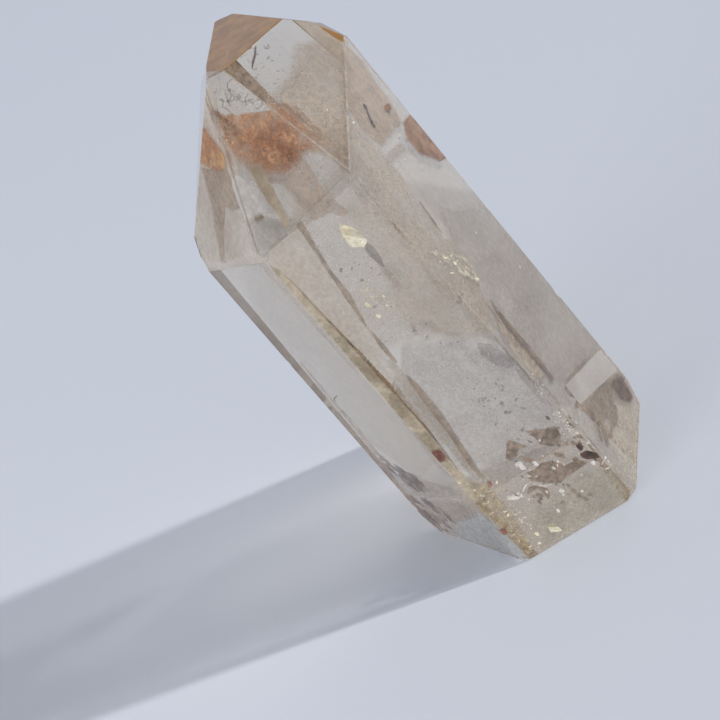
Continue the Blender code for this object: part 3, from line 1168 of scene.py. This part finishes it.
veil = new_skins()
add_skin(veil, FRONT, OLIVE_WEDGE_RIM, 0.3, soft=0.15, ripple=0.03, lies="flush", cell=FINE_CELL)
finish_inclusion(
    veil, cloudy("olive_wedge", OLIVE_WEDGE_DARK, OLIVE_WEDGE_LIGHT, 400.0, 0.9, specks=0.15),
)

FRONT_BAND_LINES = [
    [
        (298, 222, 9), (306, 234, 8), (313, 245, 7), (322, 259, 6), (330, 272, 6), (339, 284, 7),
        (347, 295, 9), (355, 308, 7), (364, 323, 4), (371, 332, 2),
    ],
    [(371, 331, 3), (379, 342, 6), (387, 352, 6), (397, 363, 4)],
    [
        (406, 374, 3), (414, 384, 7), (423, 395, 9), (431, 405, 9), (438, 414, 10), (450, 431, 8),
        (463, 451, 8), (477, 471, 7), (484, 478, 4),
    ],
    [(385, 215, 2), (395, 227, 5), (405, 238, 4), (418, 250, 2)],
]
FRONT_BAND_DARK = (0.30, 0.20, 0.12)
FRONT_BAND_LIGHT = (0.60, 0.45, 0.30)

veil = new_skins()
for line in FRONT_BAND_LINES:
    add_skin(veil, FRONT, ribbon(line), 0.5, soft=0.25, ripple=0.05, lies="flush", cell=FINE_CELL)
finish_inclusion(
    veil, cloudy("front_bands", FRONT_BAND_DARK, FRONT_BAND_LIGHT, 700.0, 0.78, specks=0.2),
)

OLIVE_FOOT_RIM = [
    (560, 486), (580, 470), (618, 466), (634, 494, 0.3), (600, 520, 0.2), (545, 552, 0.2),
    (530, 545), (530, 510),
]
OLIVE_FOOT_DARK = (0.44, 0.40, 0.29)
OLIVE_FOOT_LIGHT = (0.88, 0.83, 0.68)

veil = new_skins()
add_skin(veil, FRONT, OLIVE_FOOT_RIM, 1.0, soft=1.8, lies="flush")
finish_inclusion(
    veil,
    cloudy("olive_foot", OLIVE_FOOT_DARK, OLIVE_FOOT_LIGHT, 300.0, 0.66, level=0.25, spread=0.3),
)

# The veils of the left face
# The left face is the clearest. Only a thin haze lies under it, a taupe rim along its outer edge,
# and near the foot a feather of dark purple-brown strokes. Beside it a pale bluish skin is painted
# light, for the bluish light that shows through that corner.
LEFT_HAZE_RIM = [(200, 266), (258, 258), (360, 372), (440, 462), (420, 480), (300, 392)]
LEFT_HAZE_DARK = (0.64, 0.55, 0.43)
LEFT_HAZE_LIGHT = (0.84, 0.75, 0.62)

veil = new_skins()
add_skin(veil, LEFT, LEFT_HAZE_RIM, 2.5, soft=0.6, lies="flush")
finish_inclusion(
    veil, cloudy("left_haze", LEFT_HAZE_DARK, LEFT_HAZE_LIGHT, 150.0, 0.3, level=0.3, spread=0.3),
)

LEFT_RIM_LINE = [
    (300, 362, 3), (330, 398, 4), (358, 430, 5), (376, 455, 8), (392, 480, 9), (405, 497, 9),
    (425, 520, 9), (447, 541, 6),
]
LEFT_BROWN_RIM = [
    (415, 500), (440, 500), (463, 501), (480, 516), (466, 523), (452, 522), (440, 526), (424, 517),
]
LEFT_RIM_DARK = (0.40, 0.28, 0.20)
LEFT_RIM_LIGHT = (0.76, 0.60, 0.46)

veil = new_skins()
add_skin(
    veil, LEFT, ribbon(LEFT_RIM_LINE), 0.6, soft=0.5, ripple=0.05, lies="flush", cell=FINE_CELL
)
add_skin(veil, LEFT, LEFT_BROWN_RIM, 1.0, soft=0.7, ripple=0.05, lies="flush", cell=FINE_CELL)
finish_inclusion(
    veil, cloudy("left_rim", LEFT_RIM_DARK, LEFT_RIM_LIGHT, 700.0, 0.72, level=0.42)
)

# Painted light: a pale bluish skin for the bluish light seen through this corner.
LEFT_BLUE_RIM = [
    (456, 516), (478, 510), (500, 530, 0.4), (524, 560, 0.2), (504, 556, 0.2), (478, 546, 0.3),
    (456, 536),
]
LEFT_SMOKE_RIM = [
    (395, 466), (415, 474), (434, 482), (456, 492), (452, 500), (420, 498), (404, 488),
]
LEFT_BLUE_DARK = (0.66, 0.76, 0.82)
LEFT_BLUE_LIGHT = (0.82, 0.92, 0.98)
LEFT_SMOKE_DARK = (0.66, 0.54, 0.48)
LEFT_SMOKE_LIGHT = (0.86, 0.76, 0.70)

veil = new_skins()
add_skin(veil, LEFT, LEFT_BLUE_RIM, 1.4, soft=0.8, lies="flush", cell=FINE_CELL)
finish_inclusion(
    veil, cloudy("left_painted_blue_light", LEFT_BLUE_DARK, LEFT_BLUE_LIGHT, 300.0, 0.8, level=0.25, spread=0.25),
)
veil = new_skins()
add_skin(veil, LEFT, LEFT_SMOKE_RIM, 1.6, soft=1.2, lies="flush", cell=FINE_CELL)
finish_inclusion(
    veil, cloudy("left_smoke", LEFT_SMOKE_DARK, LEFT_SMOKE_LIGHT, 500.0, 0.6, level=0.35),
)

FEATHER_ZONES = [
    ([(376, 456), (384, 458), (424, 484), (414, 492), (386, 474)], 26),
    ([(408, 498), (430, 500), (458, 520), (448, 532), (420, 516)], 36),
]
FEATHER_SLOPE = (10.0, 8.5)
FEATHER_JITTER = 1.1
FEATHER_DARK = (0.11, 0.05, 0.04)
FEATHER_LIGHT = (0.48, 0.31, 0.24)

feather = new_skins()
plume = random.Random(15)
for zone, strokes in FEATHER_ZONES:
    for across, down in scatter(zone, strokes, plume):
        reach = plume.uniform(0.4, 1.1)
        stroke = []
        for share in (-1.0, -0.5, 0.0, 0.5, 1.0):
            run, fall = (share * reach * step for step in FEATHER_SLOPE)
            run += plume.uniform(-FEATHER_JITTER, FEATHER_JITTER)
            fall += plume.uniform(-FEATHER_JITTER, FEATHER_JITTER)
            width = plume.uniform(1.5, 5.0) * (1.15 - abs(share))
            stroke.append((across + run, down + fall, width))
        add_skin(
            feather, LEFT, ribbon(stroke), plume.uniform(0.7, 1.3), soft=0.3, ripple=0.05,
            lies="flush", cell=FINEST_CELL
        )
finish_inclusion(
    feather,
    cloudy(
        "feather", FEATHER_DARK, FEATHER_LIGHT, 900.0, 0.85, ragged=1.8, level=0.38, spread=0.15
    ),
)

FEATHER_LIGHT_LINES = [
    [(411, 514, 1), (424, 523, 2.5), (438, 531, 1.5)],
    [(441, 512, 1), (449, 521, 2), (453, 527, 1)], [(399, 494, 1), (405, 498, 2), (412, 503, 1)],
    [(396, 478, 1), (404, 486, 2), (412, 492, 1)], [(453, 499, 2), (462, 500, 2)],
]
FEATHER_LINE_DARK = (0.80, 0.72, 0.66)
FEATHER_LINE_LIGHT = (1.0, 0.96, 0.92)

feather = new_skins()
for line in FEATHER_LIGHT_LINES:
    add_skin(
        feather, LEFT, ribbon(line), 0.5, soft=0.15, ripple=0.02, lies="flush", cell=FINEST_CELL
    )
finish_inclusion(
    feather, cloudy("feather_lines", FEATHER_LINE_DARK, FEATHER_LINE_LIGHT, 900.0, 0.85),
)

# The eased edges
# A narrow brownish skin lies just under each eased edge that the camera looks across. It is painted
# shade, for the darker line that these edges show.
EDGES = [
    ((POINT_RIGHT, RIGHT), ((343, 33), (350, 171)), 0.25, 0.38),
    ((POINT_FRONT, POINT_RIGHT), ((223, 70), (350, 171)), 0.2, 0.3),
    ((FRONT, RIGHT), ((350, 171), (632, 489)), 0.25, 0.38),
    ((FRONT, POINT_FRONT), ((268, 249), (350, 171)), 0.2, 0.3),
    ((POINT_LEFT, POINT_FRONT), ((206, 88), (258, 257)), 0.25, 0.38),
]
EDGE_CELLS = 60
EDGE_DARK = (0.42, 0.36, 0.29)
EDGE_LIGHT = (0.54, 0.48, 0.41)


def add_edge_skin(form, faces, pixels, depth, width):
    """A narrow skin just under the eased edge between two faces."""
    (enter, outward), (enter_other, other) = (through(face) for face in faces)
    inward = -(outward + other).normalized()
    along = outward.cross(other).normalized()
    aside = along.cross(outward)
    beyond = enter_other(faces[1])[0]
    ends = []
    for pixel in pixels:
        place = enter(pixel)[0]
        ends.append(place + aside * ((beyond - place).dot(other) / aside.dot(other)))
    grid = bmesh.ops.create_grid(form, x_segments=EDGE_CELLS, y_segments=4, size=0.5)["verts"]
    fade = form.verts.layers.float["fade"]
    for corner in grid:
        corner[fade] = 1.0 if abs(corner.co.y) < 0.4 else 0.0
    run = ends[1] - ends[0]
    cross = inward.cross(run.normalized()) * width * MM
    axes = Matrix((run, cross, inward)).transposed().to_4x4()
    middle = (ends[0] + ends[1]) / 2.0 + inward * depth * MM
    bmesh.ops.transform(form, matrix=Matrix.Translation(middle) @ axes, verts=grid)


# Painted shade along the eased edges.
edges = new_skins()
for faces, pixels, depth, width in EDGES:
    add_edge_skin(edges, faces, pixels, depth, width)
finish_inclusion(edges, cloudy("painted_edge_shade", EDGE_DARK, EDGE_LIGHT, 700.0, 0.75))

# The flakes
# Flat cracks and mineral flakes in the quartz. A large pale gold crack turned to catch the sun has
# its near-white colour painted as a glint, and the grey crack beside it is painted reflection, for
# the dark surroundings that it mirrors. Gold dust lies in streaks and at the foot, and pale
# splinters among it are painted glints.
# Painted highlight: the near-white gold colour stands for the sun mirrored in a crack. The skin's
# turn towards the sun and its slight metal add a real sheen.
GOLD_CRACK_RIM = [
    (337, 222), (344, 224), (352, 227), (360, 232), (368, 240), (364, 248), (355, 249), (348, 244),
    (341, 233),
]
GOLD_GLINT_RIM = [(547, 525), (553, 521), (562, 530), (558, 536), (550, 532)]
GOLD_CRACK_GLINT_DARK = (0.96, 0.86, 0.50)
GOLD_CRACK_GLINT_LIGHT = (1.0, 1.0, 0.88)

flake = new_skins()
add_skin(flake, FRONT, GOLD_CRACK_RIM, 1.6, soft=0.12, ripple=0.3, lies="sunlit", cell=FINEST_CELL)
add_skin(flake, FRONT, GOLD_GLINT_RIM, 0.8, soft=0.15, ripple=0.1, lies="sunlit", cell=FINEST_CELL)
finish_inclusion(
    flake,
    cloudy(
        "gold_crack_painted_glint", GOLD_CRACK_GLINT_DARK, GOLD_CRACK_GLINT_LIGHT, 1500.0, 0.98, spread=0.1, roughness=0.5,
        metallic=0.2, relief=0.7
    ),
)

# Painted reflection: this grey skin stands for the dark surroundings mirrored in a flat crack.
GREY_CRACK_RIM = [
    (367, 241), (374, 247), (381, 256), (386, 268), (380, 266), (370, 257), (364, 249),
]
GREY_REFLECTION_DARK = (0.24, 0.23, 0.22)
GREY_REFLECTION_LIGHT = (0.40, 0.38, 0.37)

flake = new_skins()
add_skin(flake, FRONT, GREY_CRACK_RIM, 2.6, soft=0.12, cell=FINE_CELL)
finish_inclusion(
    flake, cloudy("grey_crack_painted_reflection", GREY_REFLECTION_DARK, GREY_REFLECTION_LIGHT, 900.0, 0.8, roughness=0.4),
)

LAVENDER_RIMS = [
    [(474, 339), (492, 343), (514, 359), (515, 370), (500, 369), (480, 357)],
    [(455, 291), (464, 293), (463, 307), (456, 305)],
    [(408, 321), (414, 322), (421, 334), (419, 339), (412, 333)],
    ribbon([(464, 350, 2), (475, 362, 4), (485, 373, 1.5)]),
]
LAVENDER_DARK = (0.34, 0.28, 0.27)
LAVENDER_LIGHT = (0.54, 0.48, 0.46)

flake = new_skins()
for rim in LAVENDER_RIMS:
    add_skin(flake, FRONT, rim, 0.9, soft=0.6, ripple=0.05, lies="flush", cell=FINE_CELL)
finish_inclusion(
    flake,
    cloudy(
        "lavender_flakes", LAVENDER_DARK, LAVENDER_LIGHT, 500.0, 0.75, level=0.3, spread=0.25,
        roughness=0.5
    ),
)

GOLD_STREAK_LINES = [
    [(424, 249, 3), (436, 253, 7), (447, 259, 9), (460, 267, 12), (472, 276, 11), (481, 284, 4)],
    [(441, 249, 2), (452, 253, 5), (463, 259, 6), (473, 267, 3)],
]
GOLD_CLOUD_LINE = [(352, 278, 5), (366, 286, 12), (380, 298, 14), (393, 310, 9), (400, 318, 3)]
GOLD_STREAK_ZONE = [
    (430, 250), (444, 250), (460, 258), (476, 268), (480, 280), (462, 280), (444, 268),
]
GOLD_CLOUD_ZONE = [(350, 282), (365, 276), (392, 300), (396, 316), (380, 320), (360, 302)]
GOLD_LEAN = 35.0
GOLD_STREAK_DARK = (0.44, 0.37, 0.26)
GOLD_STREAK_LIGHT = (0.82, 0.76, 0.57)
GOLD_CLOUD_DARK = (0.80, 0.70, 0.54)
GOLD_CLOUD_LIGHT = (1.0, 0.97, 0.80)
GOLD_DUST_GLINT_DARK = (0.80, 0.70, 0.42)
GOLD_DUST_GLINT_LIGHT = (1.0, 0.98, 0.80)

dust = new_skins()
for line in GOLD_STREAK_LINES:
    add_skin(dust, RIGHT, ribbon(line), 0.8, soft=0.5, ripple=0.1, lies="flush", cell=FINE_CELL)
finish_inclusion(
    dust,
    cloudy(
        "gold_streaks", GOLD_STREAK_DARK, GOLD_STREAK_LIGHT, 900.0, 0.85, ragged=1.8, level=0.45,
        spread=0.15
    ),
)
dust = new_skins()
add_skin(
    dust, FRONT, ribbon(GOLD_CLOUD_LINE), 0.8, soft=0.5, ripple=0.1, lies="flush", cell=FINE_CELL
)
finish_inclusion(
    dust,
    cloudy(
        "gold_cloud", GOLD_CLOUD_DARK, GOLD_CLOUD_LIGHT, 900.0, 0.75, ragged=1.8, level=0.47,
        spread=0.15
    ),
)
# Painted highlights: these pale gold splinters stand for the glints of the gold dust. Those seen
# through the front face are also turned towards the sun.
dust = new_skins()
add_splinters(dust, RIGHT, GOLD_STREAK_ZONE, 18, (0.4, 0.7), (3, 8), 81, "flush", 6.0, GOLD_LEAN)
add_splinters(dust, FRONT, GOLD_CLOUD_ZONE, 12, (0.4, 0.7), (4, 8), 82, "sunlit", 12.0, GOLD_LEAN)
finish_inclusion(
    dust,
    cloudy(
        "gold_dust_painted_glints", GOLD_DUST_GLINT_DARK, GOLD_DUST_GLINT_LIGHT, 1200.0, 0.9, ragged=0.8, specks=0.1,
        roughness=0.6
    ),
)

GOLD_FOOT_RIM = [
    (455, 478, 0.2), (470, 478), (492, 484), (505, 500), (520, 520), (537, 546, 0.3),
    (528, 557, 0.2), (500, 530, 0.2), (475, 502, 0.2),
]
GOLD_FOOT_DARK = (0.33, 0.23, 0.09)
GOLD_FOOT_LIGHT = (0.98, 0.80, 0.48)
GOLD_FOOT_ZONE = [(455, 478), (498, 482), (520, 505), (545, 545), (530, 556), (500, 528)]
GOLD_SPARK_DARK = (0.80, 0.68, 0.46)
GOLD_SPARK_LIGHT = (1.0, 0.95, 0.80)

dust = new_skins()
add_skin(dust, FRONT, GOLD_FOOT_RIM, 0.9, soft=1.0, ripple=0.1, lies="flush")
finish_inclusion(
    dust,
    cloudy("gold_foot", GOLD_FOOT_DARK, GOLD_FOOT_LIGHT, 900.0, 0.82, level=0.33, spread=0.25),
)
# Painted highlights: pale gold splinters turned towards the sun stand for the sparkle of the gold
# at the foot.
dust = new_skins()
add_splinters(dust, FRONT, GOLD_FOOT_ZONE, 60, (0.3, 0.8), (2.5, 7), 83, "sunlit", 15.0)
finish_inclusion(
    dust,
    cloudy(
        "gold_painted_sparkles", GOLD_SPARK_DARK, GOLD_SPARK_LIGHT, 1500.0, 0.9, specks=0.1, roughness=0.5,
        metallic=0.1
    ),
)

# The broken zone
# Near the foot the crystal was once cracked across. The open planes show as brown shards, with a
# dark red one among them. Near-white skins turned towards the sun are painted glints of these
# planes, and the pale lines are painted the same way.
SHARD_RIMS = [
    [
        (522, 430), (532, 430), (545, 428), (556, 426), (560, 431), (561, 440), (553, 447),
        (540, 445), (534, 438), (528, 434),
    ],
    [
        (506, 442), (510, 440), (520, 443), (529, 446), (520, 449), (517, 456), (512, 461),
        (505, 459),
    ],
    [
        (540, 463), (552, 460), (565, 465), (578, 459), (590, 462), (578, 470), (566, 478),
        (560, 484), (548, 484), (530, 481), (526, 472), (535, 469),
    ],
    [(575, 444), (580, 439), (585, 447), (578, 451)],
    [
        (526, 496), (528, 487), (534, 485), (548, 488), (551, 495), (549, 501), (543, 494),
        (538, 489), (532, 492),
    ],
    ribbon([(570, 490, 2), (579, 495, 5), (590, 501, 2)]),
    ribbon([(573, 500, 2), (579, 505, 3.5)]),
    ribbon([(584, 500, 1.5), (590, 506, 3), (597, 512, 1)]),
]
BREAK_ZONE = [
    (508, 446), (530, 428), (562, 424), (580, 412), (596, 420), (612, 440), (612, 462), (590, 470),
    (572, 486), (540, 490), (520, 482),
]
LOW_BREAK_ZONE = [
    (505, 490), (540, 482), (575, 486), (606, 500), (596, 516), (560, 512), (530, 504),
]
BREAK_LEAN = 35.0
SHARD_DARK = (0.23, 0.15, 0.09)
SHARD_LIGHT = (0.66, 0.49, 0.35)

shards = new_skins()
for rim in SHARD_RIMS:
    add_skin(shards, FRONT, rim, 1.1, soft=0.2, ripple=0.05, lies="flush", cell=FINEST_CELL)
add_splinters(shards, FRONT, BREAK_ZONE, 44, (0.5, 1.6), (4, 15), 61, "flush", 4.0, BREAK_LEAN)
add_splinters(shards, FRONT, LOW_BREAK_ZONE, 18, (0.5, 1.6), (3, 12), 62, "flush", 4.0, BREAK_LEAN)
finish_inclusion(
    shards,
    cloudy(
        "brown_shards", SHARD_DARK, SHARD_LIGHT, 1200.0, 0.9, specks=0.1, roughness=0.3, relief=0.3
    ),
)

RED_SHARD_RIMS = [
    [(579, 454), (586, 450), (592, 451), (603, 455), (599, 458), (588, 460), (582, 458)],
    [(575, 446), (580, 442), (584, 448), (581, 452)],
]
RED_SHARD_DARK = (0.05, 0.018, 0.01)
RED_SHARD_LIGHT = (0.21, 0.095, 0.05)
STICK_LINES = [
    [(586, 435, 3), (590, 441, 4), (597, 448, 5), (603, 455, 3)],
    [(602, 428, 2), (606, 436, 5), (608, 446, 3)], [(596, 428, 1.5), (600, 437, 4), (603, 445, 2)],
    [(576, 412, 2), (579, 418, 4), (583, 422, 2)], [(545, 416, 2), (548, 418, 4), (550, 420, 2)],
]
STICK_DARK = (0.08, 0.05, 0.035)
STICK_LIGHT = (0.26, 0.19, 0.14)

shards = new_skins()
for rim in RED_SHARD_RIMS:
    add_skin(shards, FRONT, rim, 0.3, soft=0.12, ripple=0.02, lies="flush", cell=FINEST_CELL)
finish_inclusion(
    shards,
    cloudy(
        "red_shard", RED_SHARD_DARK, RED_SHARD_LIGHT, 900.0, 0.98, ragged=0.4, level=0.1,
        specks=0.05, shine=0.1
    ),
)
shards = new_skins()
for line in STICK_LINES:
    add_skin(
        shards, FRONT, ribbon(line), 0.6, soft=0.15, ripple=0.02, lies="flush", cell=FINEST_CELL
    )
add_splinters(shards, FRONT, BREAK_ZONE, 16, (0.4, 1.4), (3, 9), 63, "flush", 4.0, BREAK_LEAN)
finish_inclusion(
    shards,
    cloudy("dark_shards", STICK_DARK, STICK_LIGHT, 1200.0, 0.9, specks=0.1, shine=0.2, relief=0.3),
)

# Painted highlights: these near-white skins and lines stand for the glints of the broken planes.
# They are turned towards the sun.
GLINT_RIMS = [
    [(516, 462), (521, 461), (527, 469), (526, 474), (519, 468)],
    [(505, 499), (512, 495), (520, 492), (523, 496), (515, 502)],
    [(531, 461), (536, 461), (540, 466), (535, 466)], [(526, 497), (531, 499), (529, 501)],
]
GLINT_LINES = [
    [(521, 498, 2), (523, 491, 2), (526, 485, 2), (532, 482, 1.5)],
    [(532, 484, 1), (546, 486, 1.2), (556, 482, 1.2), (566, 487, 0.8)],
    [(601, 466, 1.5), (604, 460, 2), (611, 458, 1.2)],
    [(601, 467, 1), (604, 470, 2), (610, 467, 1.5), (613, 463, 1)],
    [(604, 450, 0.8), (607, 456, 2), (609, 460, 1)],
    [(574, 445, 0.8), (579, 454, 1.5), (581, 457, 0.8)],
    [(588, 410, 0.8), (595, 422, 1.2), (602, 438, 0.8)],
    [(346, 299, 0.8), (345, 306, 1.8), (342, 316, 1.0), (338, 328, 0.8)],
]
SPARKLE_ZONE = [(556, 414), (580, 412), (594, 436), (566, 440)]
SILVER_ZONE = [(530, 378), (546, 378), (566, 398), (560, 410), (540, 396)]
GLINT_DARK = (0.66, 0.63, 0.57)
GLINT_LIGHT = (1.0, 0.98, 0.94)

glints = new_skins()
for rim in GLINT_RIMS:
    add_skin(glints, FRONT, rim, 0.7, soft=0.12, ripple=0.1, lies="sunlit", cell=FINEST_CELL)
for line in GLINT_LINES:
    add_skin(
        glints, FRONT, ribbon(line), 0.6, soft=0.1, ripple=0.05, lies="sunlit", cell=FINEST_CELL
    )
add_splinters(glints, FRONT, BREAK_ZONE, 30, (0.6, 1.0), (3, 9), 64, "sunlit", 15.0, BREAK_LEAN)
add_splinters(glints, FRONT, LOW_BREAK_ZONE, 20, (0.4, 1.0), (2, 9), 65, "sunlit", 15.0, BREAK_LEAN)
add_splinters(glints, FRONT, SPARKLE_ZONE, 22, (0.3, 0.8), (2, 6), 66, "sunlit", 15.0)
add_splinters(glints, FRONT, SILVER_ZONE, 16, (0.3, 0.8), (2, 5), 67, "sunlit", 15.0)
finish_inclusion(
    glints,
    cloudy(
        "painted_silver_glints", GLINT_DARK, GLINT_LIGHT, 900.0, 0.95, level=0.25, specks=0.1,
        roughness=0.5, metallic=0.1, relief=0.5
    ),
)

# The needles
# Thin dark mineral needles and curls that the quartz grew around: one bent rod near the right edge,
# one long needle in the point, and a tangle of fine curls beside the iron stain.
NEEDLE_SIDES = 6
NEEDLE_OVERLAP = 1.04
NEEDLE_WEAVE = 0.3
ROD_LINES = [
    [(364, 105, 0.5), (366, 107, 0.65), (367, 110, 0.25)],
    [(367, 111, 0.3), (369, 116, 0.55), (372, 122, 0.7), (375, 127, 0.4)],
]
POINT_NEEDLE_LINE = [(256, 46, 0.12), (255, 55, 0.35), (253, 62, 0.35), (252, 69, 0.12)]
SIDE_NEEDLE_LINE = [(335, 402, 0.2), (334, 398, 0.2), (337, 396, 0.2)]
CURL_ZONES = [
    ([(214, 90), (222, 84), (262, 104), (254, 110), (226, 108)], 9),
    ([(236, 168), (258, 170), (256, 190), (238, 190)], 3),
]
CURL_STEP = 2.0
CURL_WIDTH = 0.08
CURL_BEND = 0.55
NEEDLE_DARK = (0.12, 0.10, 0.09)
NEEDLE_LIGHT = (0.27, 0.23, 0.20)


def add_needle(form, face, line, depth):
    """A round needle along a line of pixels, each with the needle's width there in mm."""
    enter, outward = through(face)
    spots = []
    for number, pixel in enumerate(line):
        start, way = enter(pixel[:2])
        spots.append(start + way * (depth + NEEDLE_WEAVE * (number % 2)) * MM)
    for number in range(len(spots) - 1):
        run = spots[number + 1] - spots[number]
        turn = run.to_track_quat("Z", "Y").to_matrix().to_4x4()
        bmesh.ops.create_cone(
            form,
            cap_ends=True,
            segments=NEEDLE_SIDES,
            radius1=line[number][2] * MM / 2.0,
            radius2=line[number + 1][2] * MM / 2.0,
            depth=run.length * NEEDLE_OVERLAP,
            matrix=Matrix.Translation((spots[number] + spots[number + 1]) / 2.0) @ turn,
        )


def curl_line(pixel, draw):
    """A short line that winds on from a pixel."""
    line = []
    heading = draw.uniform(0.0, 2.0 * pi)
    for step in range(draw.randint(5, 11)):
        line.append((*pixel, CURL_WIDTH))
        pixel = (pixel[0] + CURL_STEP * cos(heading), pixel[1] + CURL_STEP * sin(heading))
        heading += draw.gauss(0.0, CURL_BEND)
    return line


needles = bmesh.new()
for line in ROD_LINES:
    add_needle(needles, RIGHT, line, 0.8)
add_needle(needles, POINT_RIGHT, POINT_NEEDLE_LINE, 1.0)
add_needle(needles, LEFT, SIDE_NEEDLE_LINE, 1.0)
curls = random.Random(18)
for zone, count in CURL_ZONES:
    for pixel in scatter(zone, count, curls):
        add_needle(needles, POINT_FRONT, curl_line(pixel, curls), curls.uniform(0.8, 1.4))
finish_inclusion(
    needles, grainy("dark_needles", NEEDLE_DARK, NEEDLE_LIGHT, 2500.0, roughness=0.4),
)

# The smudges and grains
# Grey smudges are the smallest broken planes, seen edge on. Dark grains are mineral dust grown into
# the quartz. The bright grains are white and turned at random, painted as the sparkle of that dust.
SMUDGE_ZONES = [
    (
        POINT_RIGHT, [(238, 52), (262, 38), (290, 50), (300, 80), (280, 104), (256, 84)], 64,
        (0.8, 1.4)
    ),
    (POINT_FRONT, [(212, 92), (222, 84), (262, 100), (256, 110), (226, 112)], 30, (0.8, 1.4)),
    (
        FRONT, [(466, 372), (500, 380), (530, 410), (520, 440), (490, 425), (468, 395)], 34,
        (1.0, 1.8)
    ),
    (
        FRONT, [(332, 262), (356, 264), (384, 300), (470, 340), (440, 350), (350, 290)], 26,
        (0.5, 0.9)
    ),
    (RIGHT, [(516, 306), (528, 300), (538, 312), (530, 320)], 10, (0.5, 0.9)),
    (RIGHT, [(366, 70), (392, 110), (420, 160), (400, 150), (370, 100)], 14, (0.6, 0.9)),
]
SMUDGE_SIZES = (3, 9)
SMUDGE_DARK = (0.18, 0.165, 0.155)
SMUDGE_LIGHT = (0.40, 0.37, 0.345)

smudges = new_skins()
for number, (face, zone, count, depths) in enumerate(SMUDGE_ZONES):
    add_splinters(smudges, face, zone, count, depths, SMUDGE_SIZES, 71 + number, "flush", 5.0)
finish_inclusion(
    smudges, cloudy("grey_smudges", SMUDGE_DARK, SMUDGE_LIGHT, 900.0, 0.72, level=0.3),
)

DARK_GRAIN_ZONES = [
    ([(466, 372), (500, 380), (530, 410), (520, 440), (490, 425), (468, 395)], 40, (1.0, 3.0)),
    ([(348, 260), (376, 266), (384, 280), (356, 284)], 5, (0.5, 1.0)),
    ([(528, 376), (542, 376), (560, 394), (552, 398), (536, 390)], 26, (0.5, 1.0)),
    ([(455, 478), (500, 480), (560, 540), (530, 558)], 40, (0.3, 0.7)),
]
DARK_GRAIN_SIZES = (0.1, 0.35)

dust = bmesh.new()
for number, (zone, count, depths) in enumerate(DARK_GRAIN_ZONES):
    add_grains(dust, FRONT, zone, count, depths, DARK_GRAIN_SIZES, seed=21 + number)
finish_inclusion(
    dust, grainy("dark_grains", NEEDLE_DARK, NEEDLE_LIGHT, 2500.0, roughness=0.4)
)

# Painted highlights: white grains that stand for sparkles.
BRIGHT_GRAIN_ZONES = [
    (FRONT, [(552, 413), (580, 412), (592, 436), (560, 434)], 70, (0.4, 1.2), (0.12, 0.5)),
    (FRONT, [(528, 374), (545, 378), (560, 398), (540, 396)], 40, (0.4, 1.2), (0.1, 0.35)),
    (FRONT, [(350, 270), (520, 330), (520, 470), (430, 400)], 60, (1.0, 8.0), (0.05, 0.18)),
    (FRONT, [(455, 478), (500, 480), (560, 540), (530, 558)], 150, (0.3, 0.7), (0.08, 0.34)),
    (RIGHT, [(420, 160), (470, 200), (600, 350), (540, 360)], 40, (0.6, 1.4), (0.05, 0.18)),
    (POINT_TOP, [(242, 17), (253, 22), (254, 30), (246, 31)], 9, (0.14, 0.18), (0.15, 0.35)),
]
BRIGHT_SPOTS = [
    (POINT_TOP, (228, 53)), (FRONT, (369, 281)), (FRONT, (393, 277)), (RIGHT, (440, 262)),
    (RIGHT, (458, 261)), (RIGHT, (476, 232)), (RIGHT, (520, 267)), (FRONT, (562, 537)),
    (RIGHT, (632, 451)), (FRONT, (565, 420)), (FRONT, (567, 424)), (FRONT, (578, 424)),
    (FRONT, (364, 397)), (RIGHT, (353, 123)), (POINT_RIGHT, (328, 109)),
]
BRIGHT_SPOT_SIZES = (0.28, 0.48)
SPARKLE_GRAIN_DARK = (0.85, 0.84, 0.78)
SPARKLE_GRAIN_LIGHT = (1.0, 1.0, 0.96)

dust = bmesh.new()
for number, (face, zone, count, depths, sizes) in enumerate(BRIGHT_GRAIN_ZONES):
    add_grains(dust, face, zone, count, depths, sizes, seed=31 + number)
for number, (face, (across, down)) in enumerate(BRIGHT_SPOTS):
    spot = [
        (across - 1, down - 1), (across + 1, down - 1), (across + 1, down + 1),
        (across - 1, down + 1),
    ]
    depths = (0.16, 0.2) if face == POINT_TOP else (0.4, 0.6)
    add_grains(dust, face, spot, 2, depths, BRIGHT_SPOT_SIZES, seed=41 + number, flat=0.5)
finish_inclusion(
    dust, grainy("painted_sparkle_grains", SPARKLE_GRAIN_DARK, SPARKLE_GRAIN_LIGHT, 2500.0, roughness=0.2),
)
